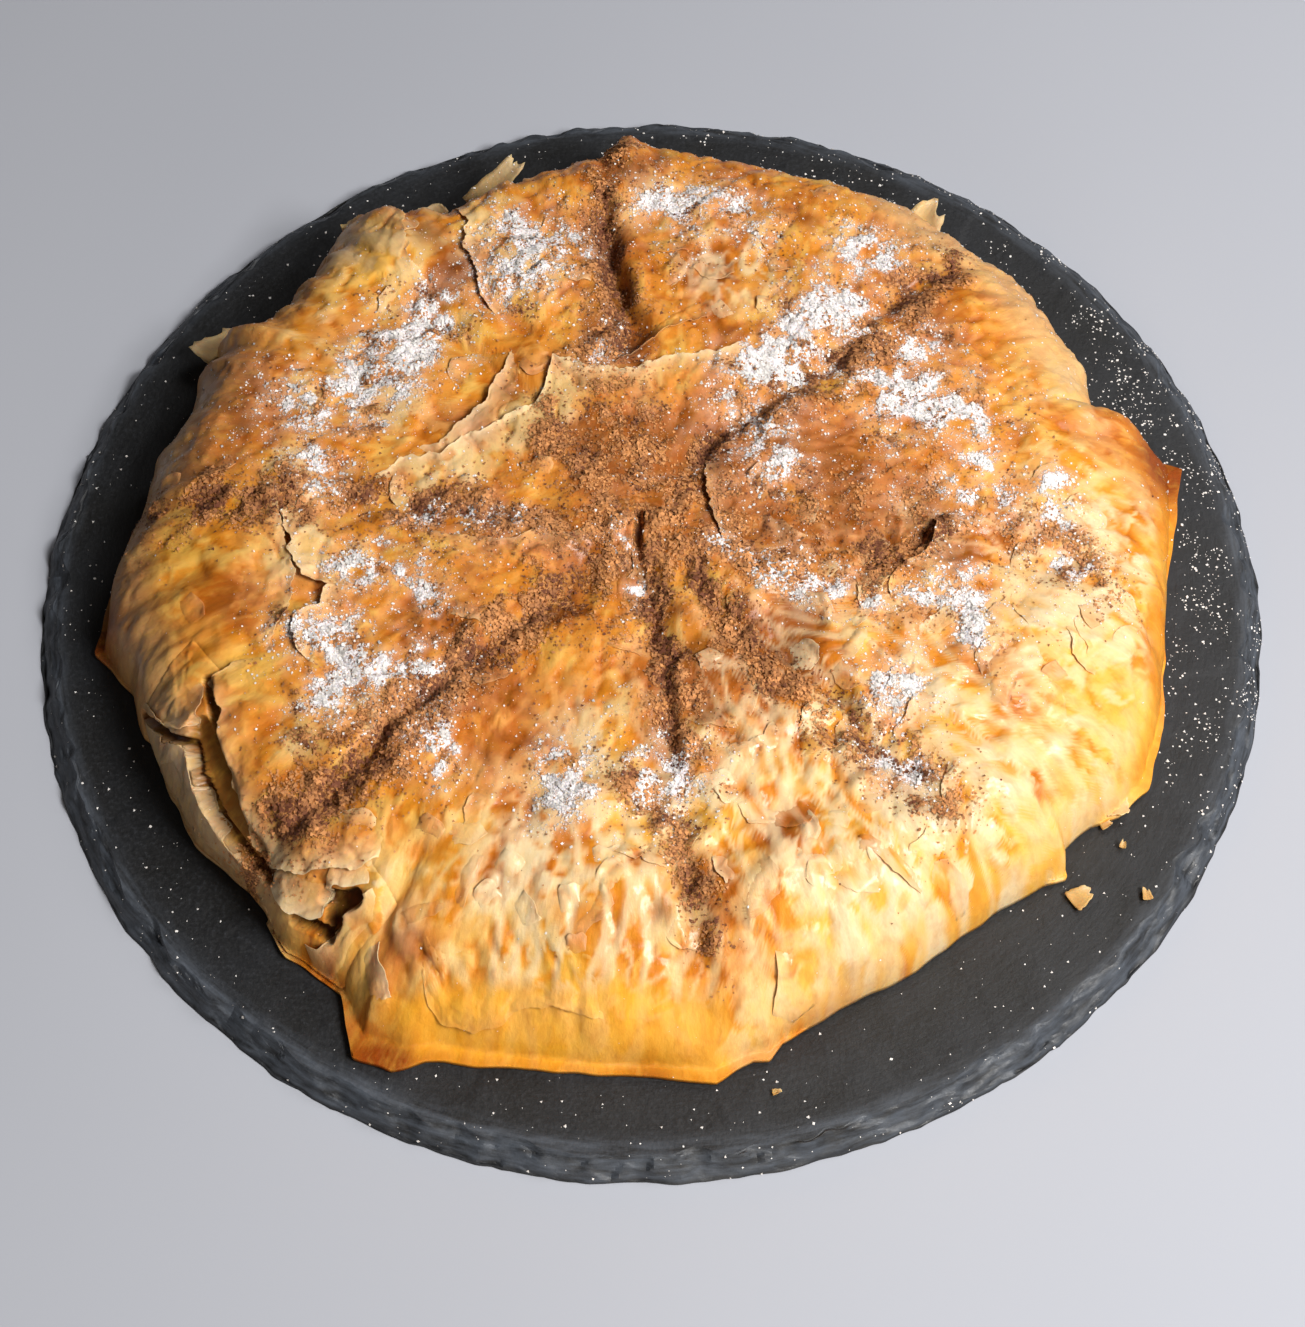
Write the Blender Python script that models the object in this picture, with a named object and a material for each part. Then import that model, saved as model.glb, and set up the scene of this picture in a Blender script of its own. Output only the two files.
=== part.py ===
"""A pastilla: a round filo pie folded into corners, resting on a round slate board.

Metres, +Z up. The origin is the middle of the slate's underside, and -Y is the front.
Named sizes below are in millimetres, and points are (x, y) seen from above.
"""
import math

import bpy
import bmesh
import numpy as np

MM = 0.001

# ---- slate board ----
SLATE_RADIUS = 165.0        # at the underside, before chipping
SLATE_THICKNESS = 6.0
SLATE_OVAL = 1.3            # longer and shorter than round, longest toward SLATE_LONG_TURN
SLATE_LONG_TURN = 60.0      # degrees
SLATE_FRONT_LONG = 1.5      # and swollen toward SLATE_FRONT_TURN
SLATE_FRONT_TURN = 300.0
SLATE_CHIP = 0.7            # how far the broken edge wanders in and out
SLATE_CHIP_LENGTH = 14.0
BEVEL_WIDTH = 5.5           # the struck edge slopes in by this much at the top
BEVEL_VARIES = 2.2
BEVEL_LENGTH = 9.0
LEDGE_SHARE = 0.45          # how far in, of the bevel's width, its ledge lies
LEDGE_VARIES = 0.3
LEDGE_LENGTH = 7.0
LEDGE_HEIGHT = 3.6
LIP_HEIGHT = 1.6            # the widest line of the edge
LIP_REACH = 0.2
SLATE_SIDES = 120
SLATE_SHARP = 25.0          # degrees between faces from which an edge is sharp

# ---- pie: plan ----
PIE_CENTRE = (-2.0, 5.0)
FOLD_CORNERS = (            # (degrees, radius) where the folded sheets' outline turns
    (0.0, 142.4), (12.2, 152.2), (17.5, 130.8), (24.0, 135.0), (36.0, 137.5), (44.0, 135.5),
    (56.0, 138.5), (70.0, 130.8), (85.0, 132.0), (92.3, 140.2), (96.0, 129.0), (105.0, 123.0),
    (111.0, 122.5), (119.0, 121.5), (127.5, 138.5), (137.0, 129.5), (146.0, 128.0), (156.0, 135.8),
    (162.5, 131.0), (168.0, 136.5), (176.0, 136.5), (184.0, 143.5), (190.5, 148.0), (196.0, 140.5),
    (208.0, 141.2), (216.0, 142.0), (224.0, 140.0), (232.0, 145.5), (239.0, 146.0), (243.3, 159.0),
    (247.0, 158.0), (249.5, 152.7), (277.0, 149.8), (291.0, 137.8), (300.0, 137.0), (306.4, 135.6),
    (313.7, 137.0), (317.2, 139.7), (319.3, 142.7), (321.2, 137.4), (325.9, 139.2), (328.6, 144.0),
    (332.8, 147.3), (340.0, 145.2), (352.0, 140.8),
)
LOOSE_TIPS = (              # (degrees, reach, half width) of torn tips past the outline
    (150.5, 7.0, 5.5), (282.5, 2.5, 4.0),
)
RAGGED_EDGE = 0.7           # small waver of the outline
RAGGED_LENGTH = 9.0

# ---- pie: section ----
GAP_TO_SLATE = 0.3
RIM_THICKNESS = 1.8         # the folded edge where it lies on the slate
SHOULDER_RADIUS = 104.0     # inside this the top is only gently domed
SIDE_RISE = 29.5            # from the rim to the shoulder
DOME_RISE = 6.5
SIDE_ROUNDNESS = 2.2        # superellipse exponent of an ordinary side
CORNER_ROUNDNESS = 1.35     # and of a corner, which slopes out more straightly
CORNER_FROM = 140.0         # outline radius where a corner begins
CORNER_FULL = 154.0
TIP_FLAT = 0.35             # share of a corner's reach that lies flat

# ---- pie: relief ----
STAR_CENTRE = (-1.3, -2.0)
STAR_RAYS = (               # (degrees, start, end, depth) of the creases between the wedges
    (95.8, 44.0, 112.7, 4.2), (47.3, 14.0, 124.2, 3.0), (353.0, 10.0, 115.6, 1.5),
    (312.4, 10.0, 108.1, 2.4), (277.2, 4.0, 116.6, 2.4), (224.0, 10.0, 131.8, 2.2),
    (176.8, 14.0, 125.0, 1.8), (128.8, 14.0, 93.6, 0.8),
)
FURROW_HALF_WIDTH = 4.5
FURROW_WIDTH_NOISE = (18.0, 0.6)                # (length, share) by which the width varies
FURROW_DEPTH_NOISE = (22.0, 0.7)                # and by which the depth does
FURROW_WANDERS = ((36.0, 6.5), (13.0, 2.2))     # (length, distance) of its bends
FURROW_RUN_IN = 14.0        # distance over which a furrow deepens at its start
FURROW_RUN_OUT = 16.0       # and dies out at its end,
FURROW_PAST = 6.0           # which lies this far past the named one
MOUNDS = (                  # (x, y, reach, height) of swellings and hollows of the top
    (35, -38, 9, -2.6), (10, 25, 10, -1.6), (-33, -67, 15, -1.2), (68, 4, 10, -1.6),
    (22, 79, 15, -0.8), (-48, 27, 12, -1.6), (-3, -39, 7, -1.4), (3, -68, 8, -1.8),
    (-11, 88, 8, -1.0), (-8, 52, 8, -1.4), (-82, -26, 7, -1.0), (-66, -66, 9, -1.2),
    (76, 70, 7, -1.0), (-23, -39, 13, 1.4), (-15, -84, 13, 1.2), (22, -27, 8, 1.3),
    (40, 54, 13, 1.4), (-32, 80, 13, 1.4), (-71, 85, 14, 1.4), (-49, -15, 13, 1.4),
    (89, -37, 12, 1.2), (49, -107, 13, 1.2),
)
LUMP_SIZES = ((46.0, 1.9), (21.0, 1.1), (11.0, 0.5))     # (length, height) of each octave
CRUMPLE_LENGTH = 13.0       # wrinkled ridges on the front right
CRUMPLE_HEIGHT = 1.2
CRUMPLE_MIDDLE = (50.0, -72.0)
CRUMPLE_REACH = 62.0
CRUMPLE_SPREAD = 1.3        # it dies out at this many times its reach
PLEATS = 64                 # small folds running down the side
PLEAT_DEPTH = 0.4
PLEAT_BEND = 3.0            # radians by which a noise shifts them
PLEAT_BEND_LENGTH = 40.0
PLEAT_STARTS = 1 / 3        # share of the side over which they grow from the rim
PLEAT_STOPS = 0.4           # and over which they fade toward the shoulder
PLEATED_SIDE = (80.0, 238.0)                    # degrees of the back and left, where they are deep
PLEATED_ELSEWHERE = 0.15    # share of their depth on the rest
PLEATED_FADE = 15.0         # degrees
RELIEF_FADE = 1 / 6         # share of the side over which all relief grows from the rim
GASHES = (                  # (points, half width at the middle, depth) of tears that gape
    (((-113.5, -57.5), (-112.2, -61.7), (-107.7, -72.5), (-104.5, -82.0), (-99.0, -89.5),
      (-95.5, -94.5)), 4.4, 2.6),
    (((-116.0, -60.6), (-112.8, -70.9), (-108.3, -80.4), (-102.2, -88.4), (-97.0, -93.5)),
     1.4, 4.4),
    (((-131.0, -46.0), (-126.5, -51.5), (-122.4, -56.5), (-116.0, -60.6)), 1.4, 2.8),
    (((-112.0, -46.5), (-110.2, -52.8), (-109.6, -62.0)), 1.6, 2.4),
    (((-78.5, -104.0), (-75.5, -105.0), (-72.5, -104.6)), 2.8, 4.6),
    (((-77.0, -105.0), (-78.2, -108.5)), 2.2, 4.6),
    (((-87.5, -105.8), (-83.5, -108.0), (-79.5, -110.8)), 2.2, 4.0),
    (((-2.6, -1.0), (-3.2, -9.0), (-1.6, -22.0)), 1.3, 2.4),
    (((67.0, -10.0), (69.5, -8.4), (70.5, -6.5)), 2.0, 2.6),
)
GASH_LIP = 2.0              # how far each cutter stands out of the surface
GASH_END = 0.25             # share of its width that a tear has at its ends

# ---- pie: torn sheets, as (edge points, degrees toward the rest of the sheet, depth, lift) ----
TORN_SHEETS = (
    (((-74, 9), (-72, 11), (-64, 17), (-55, 18), (-47, 24), (-40, 27), (-33, 31), (-28, 37),
      (-26, 49), (-20, 47), (-13, 45), (-3, 45), (7, 50), (25, 52), (34, 47)), -90, 24, 1.6),
    (((16, 63), (11, 61), (4, 57), (-3, 52), (-10, 47)), 60, 14, 2.4),
    (((-86, 9), (-91, 5), (-95, 2), (-94, -5), (-92, -13), (-89, -19), (-82, -22), (-84, -28),
      (-89, -30), (-91, -36), (-89, -42), (-84, -46)), 0, 20, 1.6),
    (((-95, -42), (-95, -38), (-92.5, -29), (-91, -20), (-93, -12), (-98, 12)), 180, 18, 1.4),
    (((-102, -42), (-112, -46.5), (-109.6, -50.5), (-107.4, -55), (-108.4, -62.5), (-106, -68),
      (-105, -72.5), (-101.8, -79), (-100.8, -84), (-100, -88), (-94, -95)), 0, 22, 1.6),
    (((-61, 76), (-66.6, 85), (-67.6, 94), (-71, 103), (-76, 110)), 180, 20, 1.8),
    (((-55, 108), (-51, 99), (-51, 88.5), (-47, 79), (-46, 70.6), (-41, 64)), 0, 18, 1.5),
    (((-97, -92), (-93, -95), (-88, -96.5), (-80, -97), (-72, -99), (-66, -97)), 70, 14, 1.6),
    (((-56, -117), (-54.5, -128), (-51, -130.5), (-43, -133), (-36, -132.5), (-29, -130),
      (-18, -131), (-9, -134)), 90, 20, 0.9),
    (((30.4, -119), (31, -125), (30, -132)), 0, 14, 1.0),
    (((65, -16), (69, -13.4), (72, -10.6), (73.4, -7.6), (73.8, -4.5), (73.2, -2)), -25, 12, 1.8),
    (((15, 17), (14.3, 12), (15.2, 5), (16, -0.5), (18.5, -9.6)), 0, 12, 1.5),
)
SHEET_COLUMNS = ((0.0, 1.0), (0.35, 0.6), (1.0, 0.0))   # (share of the depth, share of the lift)
SHEET_TAPER = 0.5           # power of the sine by which its lift dies out toward its ends
SHEET_SINK = 2.6            # how far a torn sheet's hidden face lies below the surface
SHEET_TUCK = 0.9            # how far its ends and its far side dip under the surface
EDGE_SPACING = 4.5
EDGE_JAG = 1.0
EDGE_MARGIN = 2.5
SECTION_CELLS = 54          # cells across the pie's square grid, folded into a disc
NORMAL_STEP = 0.5
PIE_SHARP = 38.0            # degrees between faces from which an edge is sharp


def lattice_noise(x, y, length, seed):
    """Smooth gradient noise of about -1 to 1, with bumps roughly `length` apart."""
    rng = np.random.default_rng(seed)
    table = rng.permutation(256)
    turns = rng.uniform(0, 2 * math.pi, 256)
    u, v = np.asarray(x) / length, np.asarray(y) / length
    iu, iv = np.floor(u).astype(int), np.floor(v).astype(int)
    fu, fv = u - iu, v - iv

    def corner(du, dv):
        turn = turns[table[(table[(iu + du) % 256] + iv + dv) % 256]]
        return np.cos(turn) * (fu - du) + np.sin(turn) * (fv - dv)

    su = fu * fu * fu * (fu * (fu * 6 - 15) + 10)
    sv = fv * fv * fv * (fv * (fv * 6 - 15) + 10)
    low = corner(0, 0) * (1 - su) + corner(1, 0) * su
    high = corner(0, 1) * (1 - su) + corner(1, 1) * su
    return 1.5 * (low * (1 - sv) + high * sv)


def smooth_step(value):
    value = np.clip(value, 0, 1)
    return value * value * (3 - 2 * value)


def outline_radius(angle):
    """Radius of the folded outline about PIE_CENTRE, with straight edges between corners."""
    degrees = np.degrees(angle) % 360
    corners = np.array(FOLD_CORNERS)
    after = np.searchsorted(corners[:, 0], degrees) % len(corners)
    turns = np.radians(corners[:, 0])
    places = corners[:, 1:] * np.column_stack((np.cos(turns), np.sin(turns)))
    p, q = places[after - 1], places[after]
    dx, dy = np.cos(angle), np.sin(angle)
    edge = q - p
    radius = (p[..., 0] * q[..., 1] - p[..., 1] * q[..., 0]) / (dx * edge[..., 1] - dy * edge[..., 0])
    for at, reach, half_width in LOOSE_TIPS:
        off = np.abs((degrees - at + 180) % 360 - 180) * math.pi / 180 * radius
        radius = radius + reach * np.clip(1 - off / half_width, 0, 1)
    return radius + RAGGED_EDGE * lattice_noise(dx * radius, dy * radius, RAGGED_LENGTH, 11)


def side_place(x, y):
    """(share of the way up the side from 0 at the rim, radius, outline radius, angle)."""
    dx, dy = x - PIE_CENTRE[0], y - PIE_CENTRE[1]
    radius, angle = np.hypot(dx, dy), np.arctan2(dy, dx)
    outline = outline_radius(angle)
    foot = outline - TIP_FLAT * np.clip(outline - CORNER_FROM, 0, None)
    return np.clip((foot - radius) / (foot - SHOULDER_RADIUS), 0, 1), radius, outline, angle


def furrows(x, y):
    """Creases that run out from the middle of the star."""
    dx, dy = x - STAR_CENTRE[0], y - STAR_CENTRE[1]
    depth = np.zeros(np.shape(x))
    bend = sum(distance * lattice_noise(x, y, length, 5 + k)
               for k, (length, distance) in enumerate(FURROW_WANDERS))
    length, share = FURROW_WIDTH_NOISE
    half_width = FURROW_HALF_WIDTH * (1 + share * lattice_noise(x, y, length, 7))
    for degrees, start, end, deepest in STAR_RAYS:
        turn = math.radians(degrees)
        along = dx * math.cos(turn) + dy * math.sin(turn)
        across = dy * math.cos(turn) - dx * math.sin(turn) + bend
        reach = smooth_step((along - start) / FURROW_RUN_IN)
        reach = reach * smooth_step((end + FURROW_PAST - along) / FURROW_RUN_OUT)
        depth = np.maximum(depth, deepest * reach * np.exp(-(across / half_width) ** 2))
    length, share = FURROW_DEPTH_NOISE
    return depth * (1 + share * lattice_noise(x, y, length, 8))


def mounds(x, y):
    """Height of the larger swellings, and below 0 of the hollows."""
    return sum(height * np.exp(-((x - mx) ** 2 + (y - my) ** 2) / reach ** 2)
               for mx, my, reach, height in MOUNDS)


def turn_window(angle, start, end, soft):
    """1 between two directions in degrees, fading to 0 over `soft` degrees inside each end."""
    into = (np.degrees(angle) - start) % 360
    return smooth_step(into / soft) * smooth_step(((end - start) % 360 - into) / soft)


def relief(x, y):
    """Lumps, creases and wrinkles, in mm above the plain domed surface."""
    side, _, _, angle = side_place(x, y)
    high = sum(height * lattice_noise(x, y, length, 20 + k)
               for k, (length, height) in enumerate(LUMP_SIZES))
    high = high - furrows(x, y) + mounds(x, y)
    near = np.hypot(x - CRUMPLE_MIDDLE[0], y - CRUMPLE_MIDDLE[1]) / CRUMPLE_REACH
    ridges = 1 - 2 * np.abs(lattice_noise(x, y, CRUMPLE_LENGTH, 31))
    high = high + CRUMPLE_HEIGHT * ridges * smooth_step(CRUMPLE_SPREAD - near)
    pleat = np.sin(PLEATS * angle + PLEAT_BEND * lattice_noise(x, y, PLEAT_BEND_LENGTH, 33))
    on_side = smooth_step(side / PLEAT_STARTS) * smooth_step((1 - side) / PLEAT_STOPS)
    deep = turn_window(angle, *PLEATED_SIDE, PLEATED_FADE)
    share = PLEATED_ELSEWHERE + (1 - PLEATED_ELSEWHERE) * deep
    high = high + PLEAT_DEPTH * pleat * on_side * share
    return high * smooth_step(side / RELIEF_FADE)


def top_height(x, y):
    """Height of the pie's surface above the table."""
    side, radius, outline, _ = side_place(x, y)
    corner = smooth_step((outline - CORNER_FROM) / (CORNER_FULL - CORNER_FROM))
    power = SIDE_ROUNDNESS + (CORNER_ROUNDNESS - SIDE_ROUNDNESS) * corner
    rise = SIDE_RISE * (1 - (1 - side) ** power) ** (1 / power)
    dome = DOME_RISE * np.clip(1 - (radius / outline) ** 2, 0, 1)
    base = SLATE_THICKNESS + GAP_TO_SLATE + RIM_THICKNESS
    return base + rise + dome + relief(x, y)


def new_object(name, rows, faces, material):
    mesh = bpy.data.meshes.new(name)
    mesh.from_pydata([tuple(MM * float(v) for v in row) for row in rows], [], faces)
    mesh.validate()
    if material:
        mesh.materials.append(material)
    piece = bpy.data.objects.new(name, mesh)
    bpy.context.scene.collection.objects.link(piece)
    return piece


def face_outward(mesh):
    shape = bmesh.new()
    shape.from_mesh(mesh)
    bmesh.ops.triangulate(shape, faces=shape.faces)
    bmesh.ops.recalc_face_normals(shape, faces=shape.faces)
    shape.to_mesh(mesh)
    shape.free()


def finish_smooth(piece, degrees):
    piece.data.shade_smooth()
    piece.data.set_sharp_from_angle(angle=math.radians(degrees))


def plain_material(name, colour, roughness):
    material = bpy.data.materials.new(name)
    material.use_nodes = True
    shader = material.node_tree.nodes["Principled BSDF"]
    shader.inputs["Base Color"].default_value = (*colour, 1.0)
    shader.inputs["Roughness"].default_value = roughness
    shader.inputs["Metallic"].default_value = 0.0
    return material


def make_slate():
    """A split slate disc with a struck, chipped edge that slopes in towards the top."""
    turns = np.arange(SLATE_SIDES) * 2 * math.pi / SLATE_SIDES
    cos, sin = np.cos(turns), np.sin(turns)
    reach = SLATE_RADIUS + SLATE_OVAL * np.cos(2 * (turns - math.radians(SLATE_LONG_TURN)))
    reach = reach + SLATE_FRONT_LONG * smooth_step(np.cos(turns - math.radians(SLATE_FRONT_TURN)))
    x, y = cos * SLATE_RADIUS, sin * SLATE_RADIUS
    foot = reach + SLATE_CHIP * lattice_noise(x, y, SLATE_CHIP_LENGTH, 2)
    width = BEVEL_WIDTH + BEVEL_VARIES * lattice_noise(x, y, BEVEL_LENGTH, 3)
    ledge = LEDGE_SHARE + LEDGE_VARIES * lattice_noise(x, y, LEDGE_LENGTH, 4)
    rings = (
        (foot, 0.0),
        (foot + LIP_REACH, LIP_HEIGHT),
        (foot - width * ledge, LEDGE_HEIGHT),
        (foot - width, SLATE_THICKNESS),
    )
    rows = [(r * c, r * s, z) for ring, z in rings for r, c, s in zip(ring, cos, sin)]
    faces = [tuple(reversed(range(SLATE_SIDES)))]
    for low in range(len(rings) - 1):
        for k in range(SLATE_SIDES):
            a, b = low * SLATE_SIDES + k, low * SLATE_SIDES + (k + 1) % SLATE_SIDES
            faces.append((a, b, b + SLATE_SIDES, a + SLATE_SIDES))
    top = (len(rings) - 1) * SLATE_SIDES
    faces.append(tuple(range(top, top + SLATE_SIDES)))
    slate = new_object("slate", rows, faces, plain_material("slate", (0.026, 0.028, 0.033), 0.62))
    face_outward(slate.data)
    finish_smooth(slate, SLATE_SHARP)
    return slate


def section_spacing():
    """Share of the radius reached at each equal step along a typical section's surface."""
    radii = np.linspace(0, 1, 400)
    side = np.clip((1 - radii) / (1 - SHOULDER_RADIUS / CORNER_FROM), 0, 1)
    rise = SIDE_RISE * (1 - (1 - side) ** SIDE_ROUNDNESS) ** (1 / SIDE_ROUNDNESS)
    steps = np.hypot(np.diff(radii) * CORNER_FROM, np.diff(rise))
    travelled = np.concatenate(([0], np.cumsum(steps)))
    return travelled / travelled[-1], radii


def disc_grid(cells):
    """Grid of (share along the section, angle), a square folded into a disc with no pole."""
    line = np.linspace(-1, 1, cells + 1)
    a, b = np.meshgrid(line, line)
    wide = np.abs(a) > np.abs(b)
    share = np.where(wide, np.abs(a), np.abs(b))
    with np.errstate(divide="ignore", invalid="ignore"):
        turn = np.where(wide, math.pi / 4 * b / a, math.pi / 2 - math.pi / 4 * a / b)
    turn = np.where(share == 0, 0, turn)
    signed = np.where(wide, a, b)
    return share, np.arctan2(signed * np.sin(turn), signed * np.cos(turn))


def pie_body():
    """The closed body: the shaped top, a thin rim and a flat underside."""
    share, angle = disc_grid(SECTION_CELLS)
    travelled, radii = section_spacing()
    radius = np.interp(share, travelled, radii) * outline_radius(angle)
    x = PIE_CENTRE[0] + radius * np.cos(angle)
    y = PIE_CENTRE[1] + radius * np.sin(angle)
    z = top_height(x, y)
    rows = list(zip(x.ravel(), y.ravel(), z.ravel()))
    across = SECTION_CELLS + 1
    faces = []
    for j in range(SECTION_CELLS):
        for i in range(SECTION_CELLS):
            a = j * across + i
            faces.append((a, a + 1, a + 1 + across, a + across))
    loop = list(range(SECTION_CELLS))
    loop += [j * across + SECTION_CELLS for j in range(SECTION_CELLS)]
    loop += [SECTION_CELLS * across + i for i in range(SECTION_CELLS, 0, -1)]
    loop += [j * across for j in range(SECTION_CELLS, 0, -1)]
    low = len(rows)
    rows += [(rows[k][0], rows[k][1], SLATE_THICKNESS + GAP_TO_SLATE) for k in loop]
    for k, index in enumerate(loop):
        after = (k + 1) % len(loop)
        faces.append((index, low + k, low + after, loop[after]))
    faces.append(tuple(range(low, low + len(loop))))
    body = new_object("pastry", rows, faces, plain_material("filo", (0.72, 0.42, 0.15), 0.42))
    face_outward(body.data)
    return body


def jagged_edge(points, toward, seed):
    """The torn edge with a point about every EDGE_SPACING, each in or out of line a little."""
    rng = np.random.default_rng(seed)
    fine = [points[0]]
    for (ax, ay), (bx, by) in zip(points, points[1:]):
        count = max(1, round(math.hypot(bx - ax, by - ay) / EDGE_SPACING))
        for k in range(1, count + 1):
            jag = rng.uniform(-EDGE_JAG, EDGE_JAG)
            fine.append((ax + (bx - ax) * k / count + jag * math.cos(toward),
                         ay + (by - ay) * k / count + jag * math.sin(toward)))
    return np.array(fine, float)


def inside_outline(x, y):
    """The points, drawn in where they are nearer than EDGE_MARGIN to the outline."""
    _, radius, outline, angle = side_place(x, y)
    radius = np.minimum(radius, outline - EDGE_MARGIN)
    return PIE_CENTRE[0] + radius * np.cos(angle), PIE_CENTRE[1] + radius * np.sin(angle)


def torn_sheet(number, points, toward, depth, lift):
    """A strip along a torn edge that stands `lift` proud there and dies into the surface."""
    turn = math.radians(toward)
    edge = jagged_edge(points, turn, 100 + number)
    ends = np.sin(np.linspace(0, math.pi, len(edge))) ** SHEET_TAPER
    lowest = SLATE_THICKNESS + GAP_TO_SLATE + RIM_THICKNESS / 2
    columns = []
    for share, above in SHEET_COLUMNS:
        x, y = inside_outline(edge[:, 0] + math.cos(turn) * depth * share,
                              edge[:, 1] + math.sin(turn) * depth * share)
        z = top_height(x, y)
        columns.append((x, y, z + lift * above * ends - SHEET_TUCK * (1 - ends + share)))
        columns.append((x, y, np.maximum(z - SHEET_SINK, lowest)))
    order = (0, 2, 4, 5, 3, 1)
    count = len(order)
    rows = [tuple(axis[k] for axis in columns[c]) for k in range(len(edge)) for c in order]
    faces = [tuple(range(count)), tuple(reversed(range(len(rows) - count, len(rows))))]
    for k in range(len(edge) - 1):
        for c in range(count):
            a, b = k * count + c, k * count + (c + 1) % count
            faces.append((a, b, b + count, a + count))
    sheet = new_object(f"torn_sheet_{number}", rows, faces, None)
    face_outward(sheet.data)
    return sheet


def surface_normal(x, y):
    """Unit normals of the pie's surface at each (x, y)."""
    step = NORMAL_STEP
    slope_x = (top_height(x + step, y) - top_height(x - step, y)) / (2 * step)
    slope_y = (top_height(x, y + step) - top_height(x, y - step)) / (2 * step)
    normal = np.column_stack((-slope_x, -slope_y, np.ones(len(x))))
    return normal / np.linalg.norm(normal, axis=1)[:, None]


def gash_cutter(number, points, half_width, depth):
    """A wedge along a tear, widest at its middle, with its point inside the pie."""
    line = np.array(points, float)
    place = np.column_stack((line, top_height(line[:, 0], line[:, 1])))
    normal = surface_normal(line[:, 0], line[:, 1])
    across = np.cross(normal, np.gradient(place, axis=0))
    across /= np.linalg.norm(across, axis=1)[:, None]
    swell = np.sin(np.linspace(0, math.pi, len(line)))
    open_by = half_width * (GASH_END + (1 - GASH_END) * swell)[:, None]
    left = place + GASH_LIP * normal + open_by * across
    right = place + GASH_LIP * normal - open_by * across
    root = place - depth * normal
    rows = [tuple(side[k]) for k in range(len(line)) for side in (left, right, root)]
    faces = [(0, 1, 2), (len(rows) - 1, len(rows) - 2, len(rows) - 3)]
    for k in range(len(line) - 1):
        for c in range(3):
            a, b = k * 3 + c, k * 3 + (c + 1) % 3
            faces.append((a, b, b + 3, a + 3))
    cutter = new_object(f"gash_{number}", rows, faces, None)
    face_outward(cutter.data)
    return cutter


def combine(body, pieces, operation):
    """One Boolean of the body with a collection of pieces, applied."""
    group = bpy.data.collections.new("pieces")
    for piece in pieces:
        bpy.context.scene.collection.objects.unlink(piece)
        group.objects.link(piece)
    bpy.context.scene.collection.children.link(group)
    change = body.modifiers.new("change", "BOOLEAN")
    change.operation = operation
    change.operand_type = "COLLECTION"
    change.collection = group
    change.solver = "EXACT"
    bpy.context.view_layer.update()
    changed = bpy.data.meshes.new_from_object(body.evaluated_get(bpy.context.evaluated_depsgraph_get()))
    body.modifiers.clear()
    body.data = changed
    for piece in pieces:
        bpy.data.objects.remove(piece)
    bpy.data.collections.remove(group)


def make_pastry():
    body = pie_body()
    combine(body, [gash_cutter(number, *gash) for number, gash in enumerate(GASHES)], "DIFFERENCE")
    combine(body, [torn_sheet(number, *sheet) for number, sheet in enumerate(TORN_SHEETS)], "UNION")
    face_outward(body.data)
    finish_smooth(body, PIE_SHARP)
    return body


for old in list(bpy.data.objects):
    bpy.data.objects.remove(old)
make_slate()
make_pastry()
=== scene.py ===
"""Looks of a pastilla on its slate board.

A fine skin of filo stands for the pie's solid, with torn sheets, cinnamon, icing sugar and
loose flakes on it, and a finely chipped disc stands for the slate. Sizes are in millimetres in
the frame's own axes, and points are (x, y) seen from above, unless a name says otherwise.
"""
import math

import bpy
import numpy as np
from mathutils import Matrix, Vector


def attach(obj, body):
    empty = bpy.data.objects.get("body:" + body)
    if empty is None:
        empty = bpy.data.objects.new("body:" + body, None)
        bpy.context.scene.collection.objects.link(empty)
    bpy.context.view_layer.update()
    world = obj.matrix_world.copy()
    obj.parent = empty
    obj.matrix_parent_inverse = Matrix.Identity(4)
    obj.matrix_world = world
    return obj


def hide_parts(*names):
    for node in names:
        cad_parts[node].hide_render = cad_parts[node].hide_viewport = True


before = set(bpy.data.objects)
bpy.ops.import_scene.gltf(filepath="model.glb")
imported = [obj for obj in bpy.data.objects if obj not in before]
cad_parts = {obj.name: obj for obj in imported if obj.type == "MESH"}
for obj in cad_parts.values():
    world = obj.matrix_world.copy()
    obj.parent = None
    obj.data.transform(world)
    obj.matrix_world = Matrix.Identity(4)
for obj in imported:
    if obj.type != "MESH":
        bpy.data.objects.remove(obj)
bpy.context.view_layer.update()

MM = 0.001

# ---- slate board, as in the solid ----
SLATE_RADIUS = 165.0
SLATE_THICKNESS = 6.0
SLATE_OVAL = 1.3            # longer and shorter than round, longest toward SLATE_LONG_TURN
SLATE_LONG_TURN = 60.0
SLATE_FRONT_LONG = 1.5      # and swollen toward SLATE_FRONT_TURN
SLATE_FRONT_TURN = 300.0
SLATE_CHIP = 0.7            # how far the broken edge wanders in and out
SLATE_CHIP_LENGTH = 14.0
BEVEL_WIDTH = 5.5           # the struck edge slopes in by this much at the top
BEVEL_VARIES = 2.2
BEVEL_LENGTH = 9.0

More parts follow.
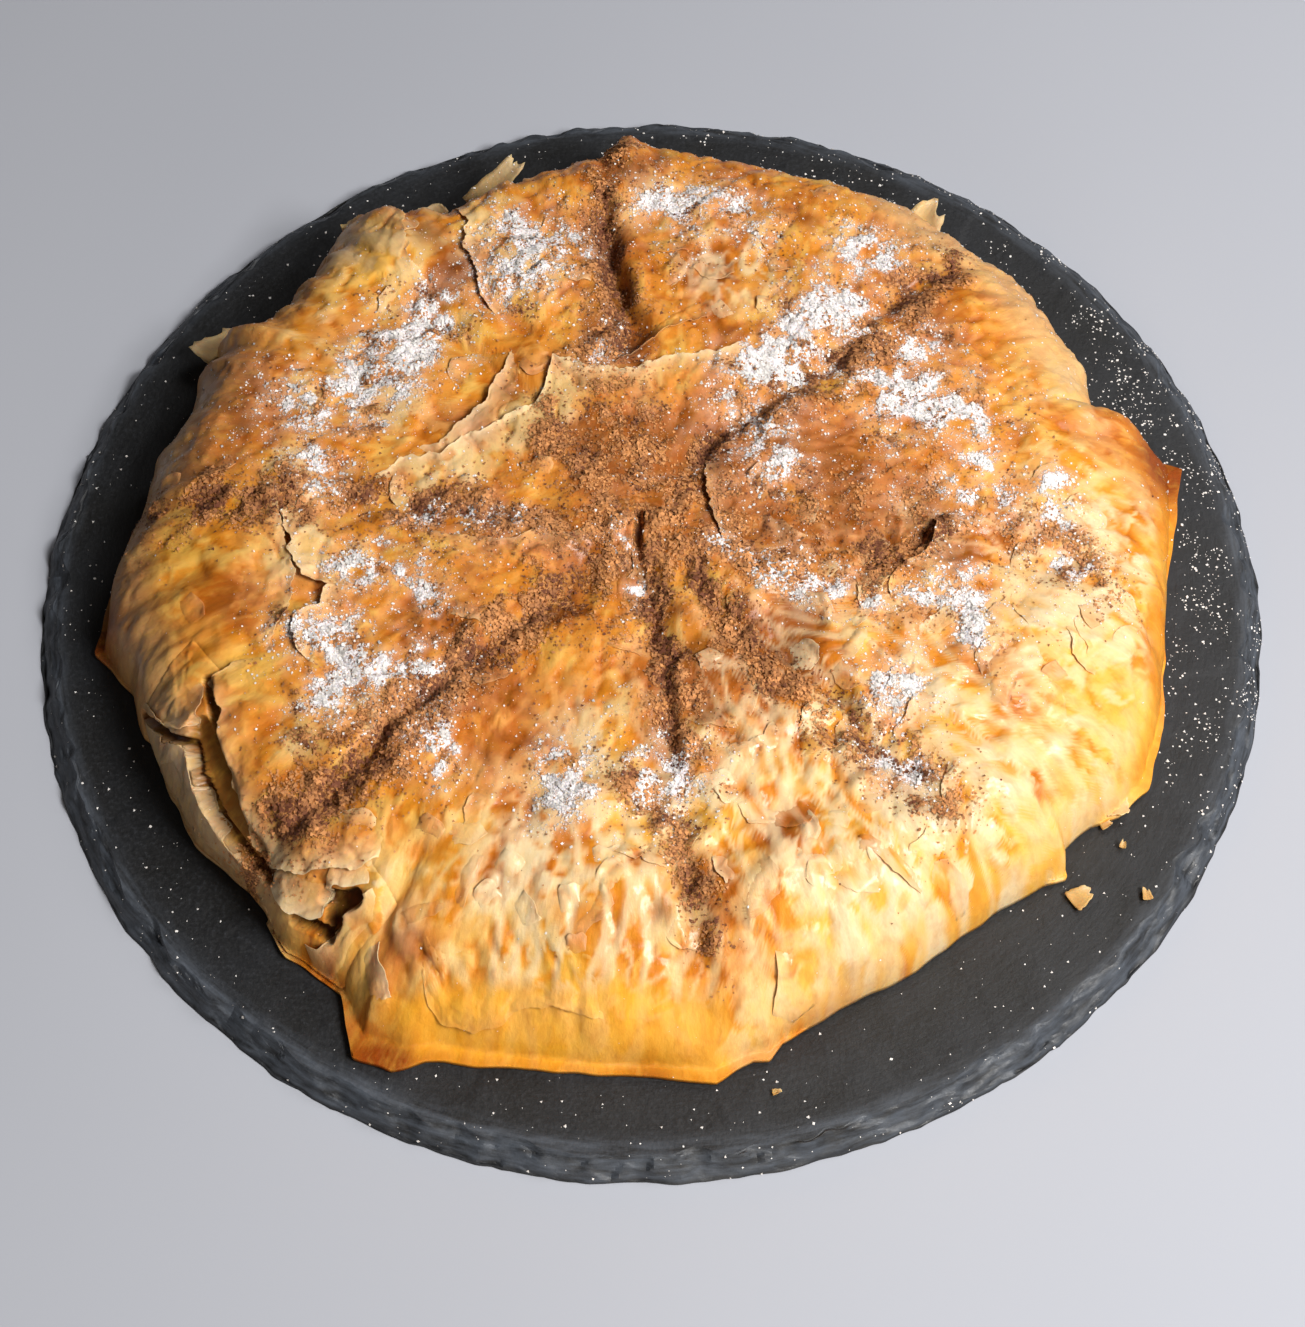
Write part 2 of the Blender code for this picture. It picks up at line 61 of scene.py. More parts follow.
# ---- pie, as in the solid ----
PIE_CENTRE = (-2.0, 5.0)
FOLD_CORNERS = (            # (degrees, radius) where the folded sheets' outline turns
    (0.0, 142.4), (12.2, 152.2), (17.5, 130.8), (24.0, 135.0), (36.0, 137.5), (44.0, 135.5),
    (56.0, 138.5), (70.0, 130.8), (85.0, 132.0), (92.3, 140.2), (96.0, 129.0), (105.0, 123.0),
    (111.0, 122.5), (119.0, 121.5), (127.5, 138.5), (137.0, 129.5), (146.0, 128.0), (156.0, 135.8),
    (162.5, 131.0), (168.0, 136.5), (176.0, 136.5), (184.0, 143.5), (190.5, 148.0), (196.0, 140.5),
    (208.0, 141.2), (216.0, 142.0), (224.0, 140.0), (232.0, 145.5), (239.0, 146.0), (243.3, 159.0),
    (247.0, 158.0), (249.5, 152.7), (277.0, 149.8), (291.0, 137.8), (300.0, 137.0), (306.4, 135.6),
    (313.7, 137.0), (317.2, 139.7), (319.3, 142.7), (321.2, 137.4), (325.9, 139.2), (328.6, 144.0),
    (332.8, 147.3), (340.0, 145.2), (352.0, 140.8),
)
LOOSE_TIPS = (              # (degrees, reach, half width) of torn tips past the outline
    (150.5, 7.0, 5.5), (282.5, 2.5, 4.0),
)
RAGGED_EDGE = 0.7           # small waver of the outline
RAGGED_LENGTH = 9.0
GAP_TO_SLATE = 0.3
RIM_THICKNESS = 1.8         # the folded edge where it lies on the slate
SHOULDER_RADIUS = 104.0     # inside this the top is only gently domed
SIDE_RISE = 29.5            # from the rim to the shoulder
DOME_RISE = 6.5
SIDE_ROUNDNESS = 2.2        # superellipse exponent of an ordinary side
CORNER_ROUNDNESS = 1.35     # and of a corner, which slopes out more straightly
CORNER_FROM = 140.0         # outline radius where a corner begins
CORNER_FULL = 154.0
TIP_FLAT = 0.35             # share of a corner's reach that lies flat
STAR_CENTRE = (-1.3, -2.0)
STAR_RAYS = (               # (degrees, start, end, furrow depth)
    (95.8, 44.0, 112.7, 4.2), (47.3, 14.0, 124.2, 3.0), (353.0, 10.0, 115.6, 1.5),
    (312.4, 10.0, 108.1, 2.4), (277.2, 4.0, 116.6, 2.4), (224.0, 10.0, 131.8, 2.2),
    (176.8, 14.0, 125.0, 1.8), (128.8, 14.0, 93.6, 0.8),
)
FURROW_HALF_WIDTH = 4.5
FURROW_WIDTH_NOISE = (18.0, 0.6)                # (length, share) by which the width varies
FURROW_DEPTH_NOISE = (22.0, 0.7)                # and by which the depth does
FURROW_WANDERS = ((36.0, 6.5), (13.0, 2.2))     # (length, distance) of its bends
FURROW_RUN_IN = 14.0        # distance over which a furrow deepens at its start
FURROW_RUN_OUT = 16.0       # and dies out at its end,
FURROW_PAST = 6.0           # which lies this far past the named one
MOUNDS = (                  # (x, y, reach, height) of swellings and hollows of the top
    (35, -38, 9, -2.6), (10, 25, 10, -1.6), (-33, -67, 15, -1.2), (68, 4, 10, -1.6),
    (22, 79, 15, -0.8), (-48, 27, 12, -1.6), (-3, -39, 7, -1.4), (3, -68, 8, -1.8),
    (-11, 88, 8, -1.0), (-8, 52, 8, -1.4), (-82, -26, 7, -1.0), (-66, -66, 9, -1.2),
    (76, 70, 7, -1.0), (-23, -39, 13, 1.4), (-15, -84, 13, 1.2), (22, -27, 8, 1.3),
    (40, 54, 13, 1.4), (-32, 80, 13, 1.4), (-71, 85, 14, 1.4), (-49, -15, 13, 1.4),
    (89, -37, 12, 1.2), (49, -107, 13, 1.2),
)
LUMP_SIZES = ((46.0, 1.9), (21.0, 1.1), (11.0, 0.5))     # (length, height) of each octave
CRUMPLE_LENGTH = 13.0       # wrinkled ridges on the front right
CRUMPLE_HEIGHT = 1.2
CRUMPLE_MIDDLE = (50.0, -72.0)
CRUMPLE_REACH = 62.0
CRUMPLE_SPREAD = 1.3        # it dies out at this many times its reach
PLEATS = 64                 # small folds running down the side
PLEAT_DEPTH = 0.4
PLEAT_BEND = 3.0            # radians by which a noise shifts them
PLEAT_BEND_LENGTH = 40.0
PLEAT_STARTS = 1 / 3        # share of the side over which they grow from the rim
PLEAT_STOPS = 0.4           # and over which they fade toward the shoulder
PLEATED_SIDE = (80.0, 238.0)                    # degrees of the back and left, where they are deep
PLEATED_ELSEWHERE = 0.15    # share of their depth on the rest
PLEATED_FADE = 15.0         # degrees
RELIEF_FADE = 1 / 6         # share of the side over which all relief grows from the rim
GASH_END = 0.25             # share of its width that a tear has at its ends
GASHES = (                  # (points, half width at the middle, depth, painted shade inside it)
    (((-113.5, -57.5), (-112.2, -61.7), (-107.7, -72.5), (-104.5, -82.0), (-99.0, -89.5),
      (-95.5, -94.5)), 4.4, 2.6, 0.1),
    (((-116.0, -60.6), (-112.8, -70.9), (-108.3, -80.4), (-102.2, -88.4), (-97.0, -93.5)),
     1.4, 4.4, 0.9),
    (((-131.0, -46.0), (-126.5, -51.5), (-122.4, -56.5), (-116.0, -60.6)), 1.4, 2.8, 0.9),
    (((-112.0, -46.5), (-110.2, -52.8), (-109.6, -62.0)), 1.6, 2.4, 0.5),
    (((-78.5, -104.0), (-75.5, -105.0), (-72.5, -104.6)), 2.8, 4.6, 0.8),
    (((-77.0, -105.0), (-78.2, -108.5)), 2.2, 4.6, 0.8),
    (((-87.5, -105.8), (-83.5, -108.0), (-79.5, -110.8)), 2.2, 4.0, 1.0),
    (((-2.6, -1.0), (-3.2, -9.0), (-1.6, -22.0)), 1.3, 2.4, 1.0),
    (((67.0, -10.0), (69.5, -8.4), (70.5, -6.5)), 2.0, 2.6, 0.8),
)

# ---- torn sheets: name, edge points, degrees toward the rest, depth, lift, curl, paleness ----
TORN_SHEETS = (
    ("centre_sheet", ((-74, 9), (-72, 11), (-64, 17), (-55, 18), (-47, 24), (-40, 27), (-33, 31),
                      (-28, 37), (-26, 49), (-20, 47), (-13, 45), (-3, 45), (7, 50), (25, 52),
                      (34, 47)), -90, 24, 1.0, 0.5, 0.8),
    ("curled_sheet", ((16, 63), (11, 61), (4, 57), (-3, 52), (-10, 47)), 60, 14, 1.0, 2.2, 0.2),
    ("left_flap", ((-86, 9), (-91, 5), (-95, 2), (-94, -5), (-92, -13), (-89, -19), (-82, -22),
                   (-84, -28), (-89, -30), (-91, -36), (-89, -42), (-84, -46)),
     0, 20, 1.5, 0.6, 0.7),
    ("left_sheet", ((-95, -42), (-95, -38), (-92.5, -29), (-91, -20), (-93, -12), (-98, 12)),
     180, 18, 1.0, 0.5, 0.5),
    ("shoulder_sheet", ((-102, -42), (-112, -46.5), (-109.6, -50.5), (-107.4, -55), (-108.4, -62.5),
                        (-106, -68), (-105, -72.5), (-101.8, -79), (-100.8, -84), (-100, -88),
                        (-94, -95)), 0, 22, 1.4, 0.5, 0.35),
    ("wall_sheet", ((-131, -47), (-123, -57.5), (-117, -61), (-113.2, -71), (-108.8, -80.8),
                    (-102.6, -89), (-96, -95.5)), 212, 6, 0.8, 0.2, 0.35),
    ("wall_rag", ((-130, -44.5), (-122.5, -54), (-116.5, -58), (-113.6, -57.5), (-113.4, -52),
                  (-114, -46)), 140, 9, 0.8, 0.3, 0.4),
    ("pit_rag", ((-95, -96), (-92.5, -100), (-88.5, -104.0), (-84, -106.2), (-80.6, -107),
                 (-80.4, -103.4), (-77.5, -101.4), (-72.5, -101.8), (-68, -102.3)),
     72, 9, 1.2, 0.4, 1.0),
    ("pit_lip", ((-86.5, -109.4), (-82, -111.8), (-78.3, -111.2), (-76.8, -108.8), (-74.6, -107.4),
                 (-71, -105.6), (-67, -103)), -65, 8, 1.0, 0.5, 0.6),
    ("tab_ridge", ((-66, -113), (-64.5, -119), (-63, -126)), 190, 7, 1.1, 0.4, 0.9),
    ("upper_left_sheet", ((-61, 76), (-66.6, 85), (-67.6, 94), (-71, 103), (-76, 110)),
     180, 20, 1.4, 0.6, 0.4),
    ("top_sheet", ((-55, 108), (-51, 99), (-51, 88.5), (-47, 79), (-46, 70.6), (-41, 64)),
     0, 18, 1.1, 0.6, 0.4),
    ("front_left_flap", ((-97, -92), (-93, -95), (-88, -96.5), (-80, -97), (-72, -99), (-66, -97)),
     70, 14, 1.3, 0.6, 0.8),
    ("front_sheet", ((-56, -117), (-54.5, -128), (-51, -130.5), (-43, -133), (-36, -132.5),
                     (-29, -130), (-18, -131), (-9, -134)), 90, 20, 0.5, 0.1, 0.1),
    ("front_right_flap", ((30.4, -119), (31, -125), (30, -132)), 0, 14, 0.7, 0.3, 0.4),
    ("hole_curl", ((65, -16), (69, -13.4), (72, -10.6), (73.4, -7.6), (73.8, -4.5), (73.2, -2)),
     -25, 12, 1.5, 1.6, 0.5),
    ("under_sheet", ((-62, 20), (-54, 23), (-49.5, 27), (-43, 36), (-38.6, 46), (-37, 54)),
     -60, 10, 1.0, 0.6, 0.6),
    ("middle_petal", ((15, 17), (14.3, 12), (15.2, 5), (16, -0.5), (18.5, -9.6)),
     0, 12, 1.2, 1.0, 0.3),
    ("middle_edge", ((-58, -4), (-54.3, -7), (-38.7, -9.4), (-27.1, -8), (-14, -6)),
     -90, 12, 0.8, 0.3, 0.3),
    ("small_curl", ((24.8, 10.5), (28.7, 13.7), (36.5, 10.7)), -90, 9, 0.8, 1.2, 0.3),
)
SHEET_THICKNESS = 0.28
SHEET_STEP = 0.7            # spacing along a torn edge
SHEET_COLUMNS = 28          # columns from the torn edge inward,
SHEET_CROWDING = 1.7        # closer together toward the edge by this power
SHEET_CLEARANCE = 0.25      # how far a sheet lies over the skin
SHEET_TUCK = 0.9            # how far its hidden side dips under the skin,
SHEET_TUCK_FROM = 0.55      # from this share of its depth on
SHEET_END_DIP = 1.2         # how far its two ends dip under the skin
SHEET_END_POWER = 0.35      # of the sine by which it rises from them
CURL_WIDTH = 1.6            # how far in from the edge a curl reaches

# ---- fine relief, on the skin alone ----
CREASE_LINES = (            # (spacing, width as a share of the noise, seed) of thin fold lines
    (30.0, 0.06, 201), (19.0, 0.07, 211), (12.0, 0.08, 221),
)
CREASE_DEPTH = 0.7
CRINKLE_STRETCH = 2.1       # how many times longer than wide the crinkles are, along the radius
CRINKLE_LENGTH = 7.5        # spacing of the wide ones
SMALL_CRINKLE_LENGTH = 5.5
WALL_STRETCH = 7.0          # the same as CRINKLE_STRETCH, for the walls
WALL_CRINKLE = 0.5          # height
WALL_CRINKLE_LENGTH = 2.6
STRETCH_RADIUS = 95.0       # where drawn-out noise has its named length
RIDGE_TOP = 0.6
RIDGE_ROUNDING = 0.006
BUTTERED = (                # (x, y, reach) where the sheets are soaked and puffed
    (50, -72, 62), (-15, -112, 42), (112, -12, 34), (22, 80, 16),
)
FRONT_FOLD = (243, 281)     # degrees of the flat fold along the front rim
FRONT_FOLD_WIDTH = 17.0
HEAP_HEIGHTS = (1.1, 0.25)  # of cinnamon and of sugar where they lie thickest

# ---- cinnamon strokes: (x, y) to (x, y), half width, strength ----
CINNAMON_STROKES = (
    (-1, -3, 3, -38, 5.0, 0.9), (3, -38, 9, -67, 5.0, 1.0), (-2, -81, 7, -94, 5.0, 0.6),
    (10, -101, 15, -117, 4.0, 0.8), (10, -13, 23, -39, 5.0, 0.8), (23, -39, 35, -53, 4.5, 1.0),
    (42, -59, 57, -67, 6.5, 0.7), (57, -67, 71, -83, 7.0, 0.6), (13, -9, 36, -19, 5.0, 0.7),
    (36, -19, 64, -27, 5.0, 0.35), (60, -12, 74, -4, 7.0, 0.7), (100, -4, 116, -17, 6.0, 0.6),
    (10, 15, 24, 25, 6.0, 0.6), (29, 31, 48, 43, 5.0, 0.7), (48, 41, 68, 64, 4.0, 0.9),
    (68, 64, 83, 87, 4.0, 0.9), (-3, 15, -8, 36, 8.0, 0.6), (-13, 52, -7, 62, 6.0, 1.0),
    (-10, 64, -14, 88, 4.5, 0.95), (-14, 88, -12, 107, 4.0, 1.0), (-10, 127, -14, 109, 4.0, 0.6),
    (-24, 21, -10, 9, 9.0, 0.7), (-68, 4, -28, -4, 5.0, 0.7), (-86, 6, -73, 5, 3.5, 0.9),
    (-126, 6, -91, 6, 6.5, 0.8), (-13, -13, -33, -31, 7.0, 0.6), (-33, -31, -50, -49, 6.5, 0.9),
    (-50, -49, -67, -65, 5.0, 1.0), (-70, -71, -94, -88, 8.0, 0.9), (-4, -4, 8, -8, 12.0, 0.8),
    (-20, -30, -8, -24, 12.0, 0.35), (30, 4, 62, 2, 16.0, 0.3), (14, 84, 26, 88, 10.0, 0.3),
)

# ---- icing sugar patches: (x, y) to (x, y), half width, strength where it isn't 1 ----
SUGAR_PATCHES = (
    (-80, 37, -61, 59, 4.4, 1.4), (-93, 39, -93, 36, 4.2), (-89, 16, -86, 13, 3.3),
    (-40, 77, -31, 79, 5.0), (-33, 85, -25, 89, 4.4), (-39, 97, -33, 93, 3.9),
    (1, 105, 22, 101, 4.4, 0.7), (21, 92, 29, 91, 3.9, 0.6), (40, 62, 54, 67, 5.0),
    (28, 46, 41, 50, 4.4),
    (58, 88, 63, 85, 4.2), (62, 36, 72, 41, 3.3), (71, 32, 83, 30, 5.0), (29, 27, 33, 18, 5.0),
    (80, -22, 81, -34, 4.4), (56, -28, 71, -27, 2.2, 0.8), (18, -11, 31, -16, 1.8, 0.8),
    (-83, -53, -72, -51, 3.9), (-69, -50, -54, -46, 3.3), (-79, -36, -76, -47, 3.3),
    (-80, -15, -63, -19, 3.3, 0.7), (-58, -24, -55, -28, 3.3, 0.7), (-90, -34, -88, -36, 3.3),
    (58, -53, 63, -52, 3.9), (-23, -82, -16, -79, 3.6), (-53, -65, -51, -73, 3.3),
    (106, 12, 105, 0, 2.2), (106, -14, 111, -16, 3.3), (-15, 51, -12, 53, 2.4, 0.6),
    (-60, 1, -34, -4, 2.2), (60, -71, 65, -74, 3.0), (31, -18, 46, -24, 2.8),
    (-9, -7, -6, -12, 2.0, 0.7), (-5, -20, -2, -29, 1.8, 0.8),
    (0, -79, 6, -76, 4.4), (82, 6, 89, 5, 3.9), (-57, 71, -59, 60, 2.8), (-26, -72, -22, -74, 3.3),
    (5, 105, 11, 107, 3.9, 0.6), (62, 37, 66, 40, 3.5), (70, 52, 76, 57, 3.0, 0.8),
    (59, 43, 64, 46, 2.8), (88, 16, 90, 13, 2.8),
)

# ---- where powder lies thinly, or not at all ----
CLEAN_PLACES = (            # (x, y, reach) of bare glossy pockets
    (79, -12, 5.5), (36, -35, 7), (19, 74, 10), (-45, 29, 8), (20, 86, 6), (42, 20, 5), (-48, 100, 5),
    (75, -43, 5), (-35, -67, 8), (11, -38, 4),
)
SUGAR_HAZE = (              # (x, y, reach, strength)
    (-38, 88, 20, 0.8), (14, 98, 18, 0.9), (48, 66, 20, 0.9), (72, 36, 20, 0.9),
    (30, 38, 16, 0.9), (34, 22, 14, 0.8), (66, 12, 18, 0.6), (34, -19, 14, 0.8),
    (78, -25, 12, 0.9), (-72, -16, 20, 0.9), (-76, -44, 16, 0.9), (-56, -52, 16, 0.6),
    (-20, -76, 14, 0.8), (3, -74, 11, 0.8), (-88, 30, 12, 0.6), (-68, 50, 14, 0.9),
    (-58, 66, 10, 0.9), (-46, -1, 16, 0.6), (60, -50, 11, 0.7), (-50, -68, 8, 0.8),
    (106, 4, 9, 0.8), (-104, 24, 16, 0.5), (10, 10, 16, 0.5), (58, 88, 12, 0.7),
    (-8, 58, 9, 0.9), (-12, -60, 12, 0.4),
)
CINNAMON_HAZE = (           # (x, y, reach, strength)
    (0, 0, 24, 0.75), (4, -50, 16, 0.5), (-35, -35, 18, 0.5), (-76, -74, 16, 0.5),
    (-10, 70, 14, 0.5), (55, -4, 18, 0.45), (58, 50, 16, 0.4), (-110, 6, 14, 0.5),
    (-20, 30, 18, 0.35), (28, -42, 14, 0.5), (-46, -1, 16, 0.4), (-6, 118, 12, 0.4),
)

# ---- where the filo is paler or browner than the rest, and where shade is painted in: (x, y, reach) ----
PALE_PLACES = (
    (112, -45, 17), (87, -81, 22), (61, -100, 25), (44, -118, 22), (114, -69, 11),
    (-15, -67, 14), (12, -81, 14), (-32, -99, 17), (121, -33, 8), (99, -31, 14), (-2, -89, 11),
    (-66, -106, 12), (-50, 96, 8), (-24, 38, 8), (-67, 36, 11), (128, -8, 14), (118, 12, 12),
    (72, -51, 9), (-93, -12, 9), (-71, 85, 15), (-33, 81, 10), (115, 50, 12), (-1, 104, 9),
    (-94, 12, 6), (-30, 30, 7), (-48, 16, 5), (-90, 42, 8), (-93, 60, 8), (-85, 92, 8),
    (82, 92, 7), (46, -54, 6), (68, -69, 6), (13, -70, 4), (14, -87, 6), (-2, 40, 6),
    (120, -50, 9), (100, -85, 9), (52, -115, 10), (15, -135, 7), (-10, -137, 7),
    (-28, 27, 7), (-88, -10, 7), (64, -72, 7), (-22, -124, 8), (-72, -58, 6), (-88, -66, 6),
    (-99, 16, 6), (-35, 24, 7), (-47, 15, 8), (-59, 10, 6), (75, -4, 3.5), (112, 42, 7),
    (-95, 15, 5), (67, 1, 4), (115, 36, 6),
)
TOASTED_PLACES = (
    (-37, -61, 19), (52, -3, 25), (-3, 24, 17), (28, -42, 14), (78, 57, 14), (-3, 116, 11),
    (139, 28, 9), (-48, -38, 17), (17, -107, 8), (12, -138, 9),
    (-107, 38, 14), (-144, -15, 8), (-55, 78, 9), (45, 23, 14), (31, -49, 9), (10, 25, 10),
    (-12, 92, 9), (-8, 54, 8), (-48, 27, 9), (65, -2, 10), (79, 101, 9), (3, -50, 9),
    (16, 40, 6), (37, 22, 5), (-40, -8, 11), (-26, -12, 7), (-60, -116, 6), (35, -90, 5),
    (37, -34, 8), (79, -12, 5), (97, -75, 5), (-105, -25, 8), (16, 85, 8), (-82, -128, 12),
    (-38, -101, 7), (-60, -117, 6), (33, -94, 7), (-118, 20, 10), (-110, 50, 10), (-54, 86, 7),
    (-15, 13, 8), (-32, -92, 6), (-53, -118, 5), (-36, -104, 4), (123, 33, 6), (14, -56, 6),
    (-4, -2, 20), (22, 4, 14),
)
# painted shade: hollows, gaps and the ground beside sheet edges that lie in shadow, painted dark
# brown
SHADED_PLACES = (
    (34.5, -44.5, 4.5), (3, -111.4, 3.2), (13.3, -116.4, 3.6), (-13, 51, 6), (-61, 93, 6),
    (-58, 69, 4), (-3, -15, 4), (14, -61, 3.5), (3, -71, 4), (1, -64, 4), (76, -16, 2.5),
    (12, -40, 3.5), (13, -56, 4), (-38, 37, 4), (-10, 72, 5), (-12, 62, 6), (-13, 84, 4), (44, 97, 4),
    (-54, 82, 5), (-57, 72, 4), (-15, 53, 4), (34, 19, 4), (17, -4, 4), (-7, -18, 4), (6, -30, 4),
    (2, -79, 3.5), (-45, 31, 4), (-80, 8, 4.5), (16, -1, 3.5), (-5, -14, 3.5), (10, -46, 4),
    (37, -27, 4.5), (70, 43, 3.5), (-15, 13, 5), (11, 9, 4),
)
BROWN_CORNERS = (
    (138, 31, 9), (142, 36, 6), (-70, -137, 7), (-146, -20, 8), (-7, 146, 8), (0, -147, 7),
    (-62, -138, 5),
)
RIGHT_BAND = (328, 14)      # degrees of the smooth golden rim at the right
RIGHT_BAND_WIDTH = 9.0
BAKED_RIM = (236, 296)      # degrees of the rim that is amber at its very edge
BAKED_RIM_WIDTH = 3.5

# ---- loose layers over the pie: (size, share left bare, tone from -1 brown to 1 pale) ----
LOOSE_LAYERS = (
    (40.0, 0.05, 0.5), (28.0, 0.12, -0.4), (20.0, 0.1, 0.7), (13.0, 0.2, -0.7), (9.0, 0.25, 1.0),
)
LAYER_THICKNESS = 0.32


# ==== numbers and noise ====
def smooth_step(value):
    value = np.clip(value, 0, 1)
    return value * value * (3 - 2 * value)


def lattice(seed):
    """A shuffled table for one noise, and the generator that its values come from."""
    rng = np.random.default_rng(seed)
    return rng.permutation(256), rng


def lattice_noise(x, y, length, seed):
    """Smooth gradient noise of about -1 to 1, with bumps roughly `length` apart."""
    table, rng = lattice(seed)
    turns = rng.uniform(0, 2 * math.pi, 256)
    u, v = np.asarray(x) / length, np.asarray(y) / length
    iu, iv = np.floor(u).astype(int), np.floor(v).astype(int)
    fu, fv = u - iu, v - iv

    def corner(du, dv):
        turn = turns[table[(table[(iu + du) % 256] + iv + dv) % 256]]
        return np.cos(turn) * (fu - du) + np.sin(turn) * (fv - dv)

    su = fu * fu * fu * (fu * (fu * 6 - 15) + 10)
    sv = fv * fv * fv * (fv * (fv * 6 - 15) + 10)
    low = corner(0, 0) * (1 - su) + corner(1, 0) * su
    high = corner(0, 1) * (1 - su) + corner(1, 1) * su
    return 1.5 * (low * (1 - sv) + high * sv)


def layered_noise(x, y, length, seed, layers=4):
    """Gradient noise with finer layers, each half as long and half as strong."""
    return sum(lattice_noise(x, y, length / 2 ** k, seed + k) / 2 ** k for k in range(layers))


ROW_HEIGHT = 0.866          # of a lattice of even triangles, as a share of its step


def facet_noise(x, y, length, seed):
    """Crumpled relief of -1 to 1: nearly flat facets that meet in sharp creases."""
    bend = 0.45 * length
    u = (x + bend * lattice_noise(x, y, 1.7 * length, seed + 1)) / length
    v = (y + bend * lattice_noise(x, y, 1.7 * length, seed + 2)) / length / ROW_HEIGHT
    u = u - v / 2
    iu, iv = np.floor(u).astype(int), np.floor(v).astype(int)
    fu, fv = u - iu, v - iv
    table, rng = lattice(seed)
    heights = rng.uniform(-1, 1, 256)

    def corner(du, dv):
        return heights[table[(table[(iu + du) % 256] + iv + dv) % 256]]

    low = corner(0, 0) * (1 - fu - fv) + corner(1, 0) * fu + corner(0, 1) * fv
    high = corner(1, 1) * (fu + fv - 1) + corner(0, 1) * (1 - fu) + corner(1, 0) * (1 - fv)
    return np.where(fu + fv < 1, low, high)


def distance_to_run(points, start, end):
    """Distance of each point from one straight run, in as many dimensions as they have."""
    start, end = np.asarray(start, float), np.asarray(end, float)
    run = end - start
    along = np.clip(((points - start) @ run) / (run @ run + 1e-9), 0, 1)
    return np.linalg.norm(points - start - along[..., None] * run, axis=-1)


def hill(x, y, at_x, at_y, reach):
    """1 at a place, down to about 0 at twice its reach."""
    return np.exp(-((x - at_x) ** 2 + (y - at_y) ** 2) / reach ** 2)


def srgb(red, green, blue):
    """Linear colour of a screen colour given as 0 to 255."""
    share = np.array((red, green, blue)) / 255
    return np.where(share <= 0.04045, share / 12.92, ((share + 0.055) / 1.055) ** 2.4)


def mix(first, second, amount):
    """The first colour, and the second where the amount is 1."""
    amount = np.clip(amount, 0, 1)[..., None]
    return first * (1 - amount) + second * amount


# ==== the pie's form ====
def outline_radius(angle):
    """Distance of the pie's rim from its middle in each direction."""
    degrees = np.degrees(angle) % 360
    corners = np.array(FOLD_CORNERS)
    after = np.searchsorted(corners[:, 0], degrees) % len(corners)
    turns = np.radians(corners[:, 0])
    places = corners[:, 1:] * np.column_stack((np.cos(turns), np.sin(turns)))
    p, q = places[after - 1], places[after]
    dx, dy = np.cos(angle), np.sin(angle)
    edge = q - p
    cross = p[..., 0] * q[..., 1] - p[..., 1] * q[..., 0]
    radius = cross / (dx * edge[..., 1] - dy * edge[..., 0])
    for at, reach, half_width in LOOSE_TIPS:
        off = np.abs((degrees - at + 180) % 360 - 180) * math.pi / 180 * radius
        radius = radius + reach * np.clip(1 - off / half_width, 0, 1)
    return radius + RAGGED_EDGE * lattice_noise(dx * radius, dy * radius, RAGGED_LENGTH, 11)


def side_place(x, y):
    """(share of the way up the side from 0 at the rim, radius, outline radius, angle)."""
    dx, dy = x - PIE_CENTRE[0], y - PIE_CENTRE[1]
    radius, angle = np.hypot(dx, dy), np.arctan2(dy, dx)
    outline = outline_radius(angle)
    foot = outline - TIP_FLAT * np.clip(outline - CORNER_FROM, 0, None)
    return np.clip((foot - radius) / (foot - SHOULDER_RADIUS), 0, 1), radius, outline, angle


def plain_height(x, y):
    """Height of the plain domed surface, before its relief."""
    side, radius, outline, _ = side_place(x, y)
    corner = smooth_step((outline - CORNER_FROM) / (CORNER_FULL - CORNER_FROM))
    power = SIDE_ROUNDNESS + (CORNER_ROUNDNESS - SIDE_ROUNDNESS) * corner
    rise = SIDE_RISE * (1 - (1 - side) ** power) ** (1 / power)
    dome = DOME_RISE * np.clip(1 - (radius / outline) ** 2, 0, 1)
    return SLATE_THICKNESS + GAP_TO_SLATE + RIM_THICKNESS + rise + dome


NORMAL_STEP = 0.8


def plain_normal(x, y):
    right, left = plain_height(x + NORMAL_STEP, y), plain_height(x - NORMAL_STEP, y)
    back, front = plain_height(x, y + NORMAL_STEP), plain_height(x, y - NORMAL_STEP)
    slope_x, slope_y = (right - left) / (2 * NORMAL_STEP), (back - front) / (2 * NORMAL_STEP)
    normal = np.stack((-slope_x, -slope_y, np.ones_like(slope_x)), axis=-1)
    return normal / np.linalg.norm(normal, axis=-1)[..., None]


def furrows(x, y):
    """Creases that run out from the middle of the star."""
    dx, dy = x - STAR_CENTRE[0], y - STAR_CENTRE[1]
    depth = np.zeros(np.shape(x))
    bend = sum(distance * lattice_noise(x, y, length, 5 + k)
               for k, (length, distance) in enumerate(FURROW_WANDERS))
    length, share = FURROW_WIDTH_NOISE
    half_width = FURROW_HALF_WIDTH * (1 + share * lattice_noise(x, y, length, 7))
    for degrees, start, end, deepest in STAR_RAYS:
        turn = math.radians(degrees)
        along = dx * math.cos(turn) + dy * math.sin(turn)
        across = dy * math.cos(turn) - dx * math.sin(turn) + bend
        reach = smooth_step((along - start) / FURROW_RUN_IN)
        reach = reach * smooth_step((end + FURROW_PAST - along) / FURROW_RUN_OUT)
        depth = np.maximum(depth, deepest * reach * np.exp(-(across / half_width) ** 2))
    length, share = FURROW_DEPTH_NOISE
    return depth * (1 + share * lattice_noise(x, y, length, 8))


def mounds(x, y):
    """Height of the larger swellings, and below 0 of the hollows."""
    return sum(height * hill(x, y, *place) for *place, height in MOUNDS)


def front_right(x, y):
    """1 where the top is crumpled most, at the front right, down to 0."""
    near = np.hypot(x - CRUMPLE_MIDDLE[0], y - CRUMPLE_MIDDLE[1]) / CRUMPLE_REACH
    return smooth_step(CRUMPLE_SPREAD - near)


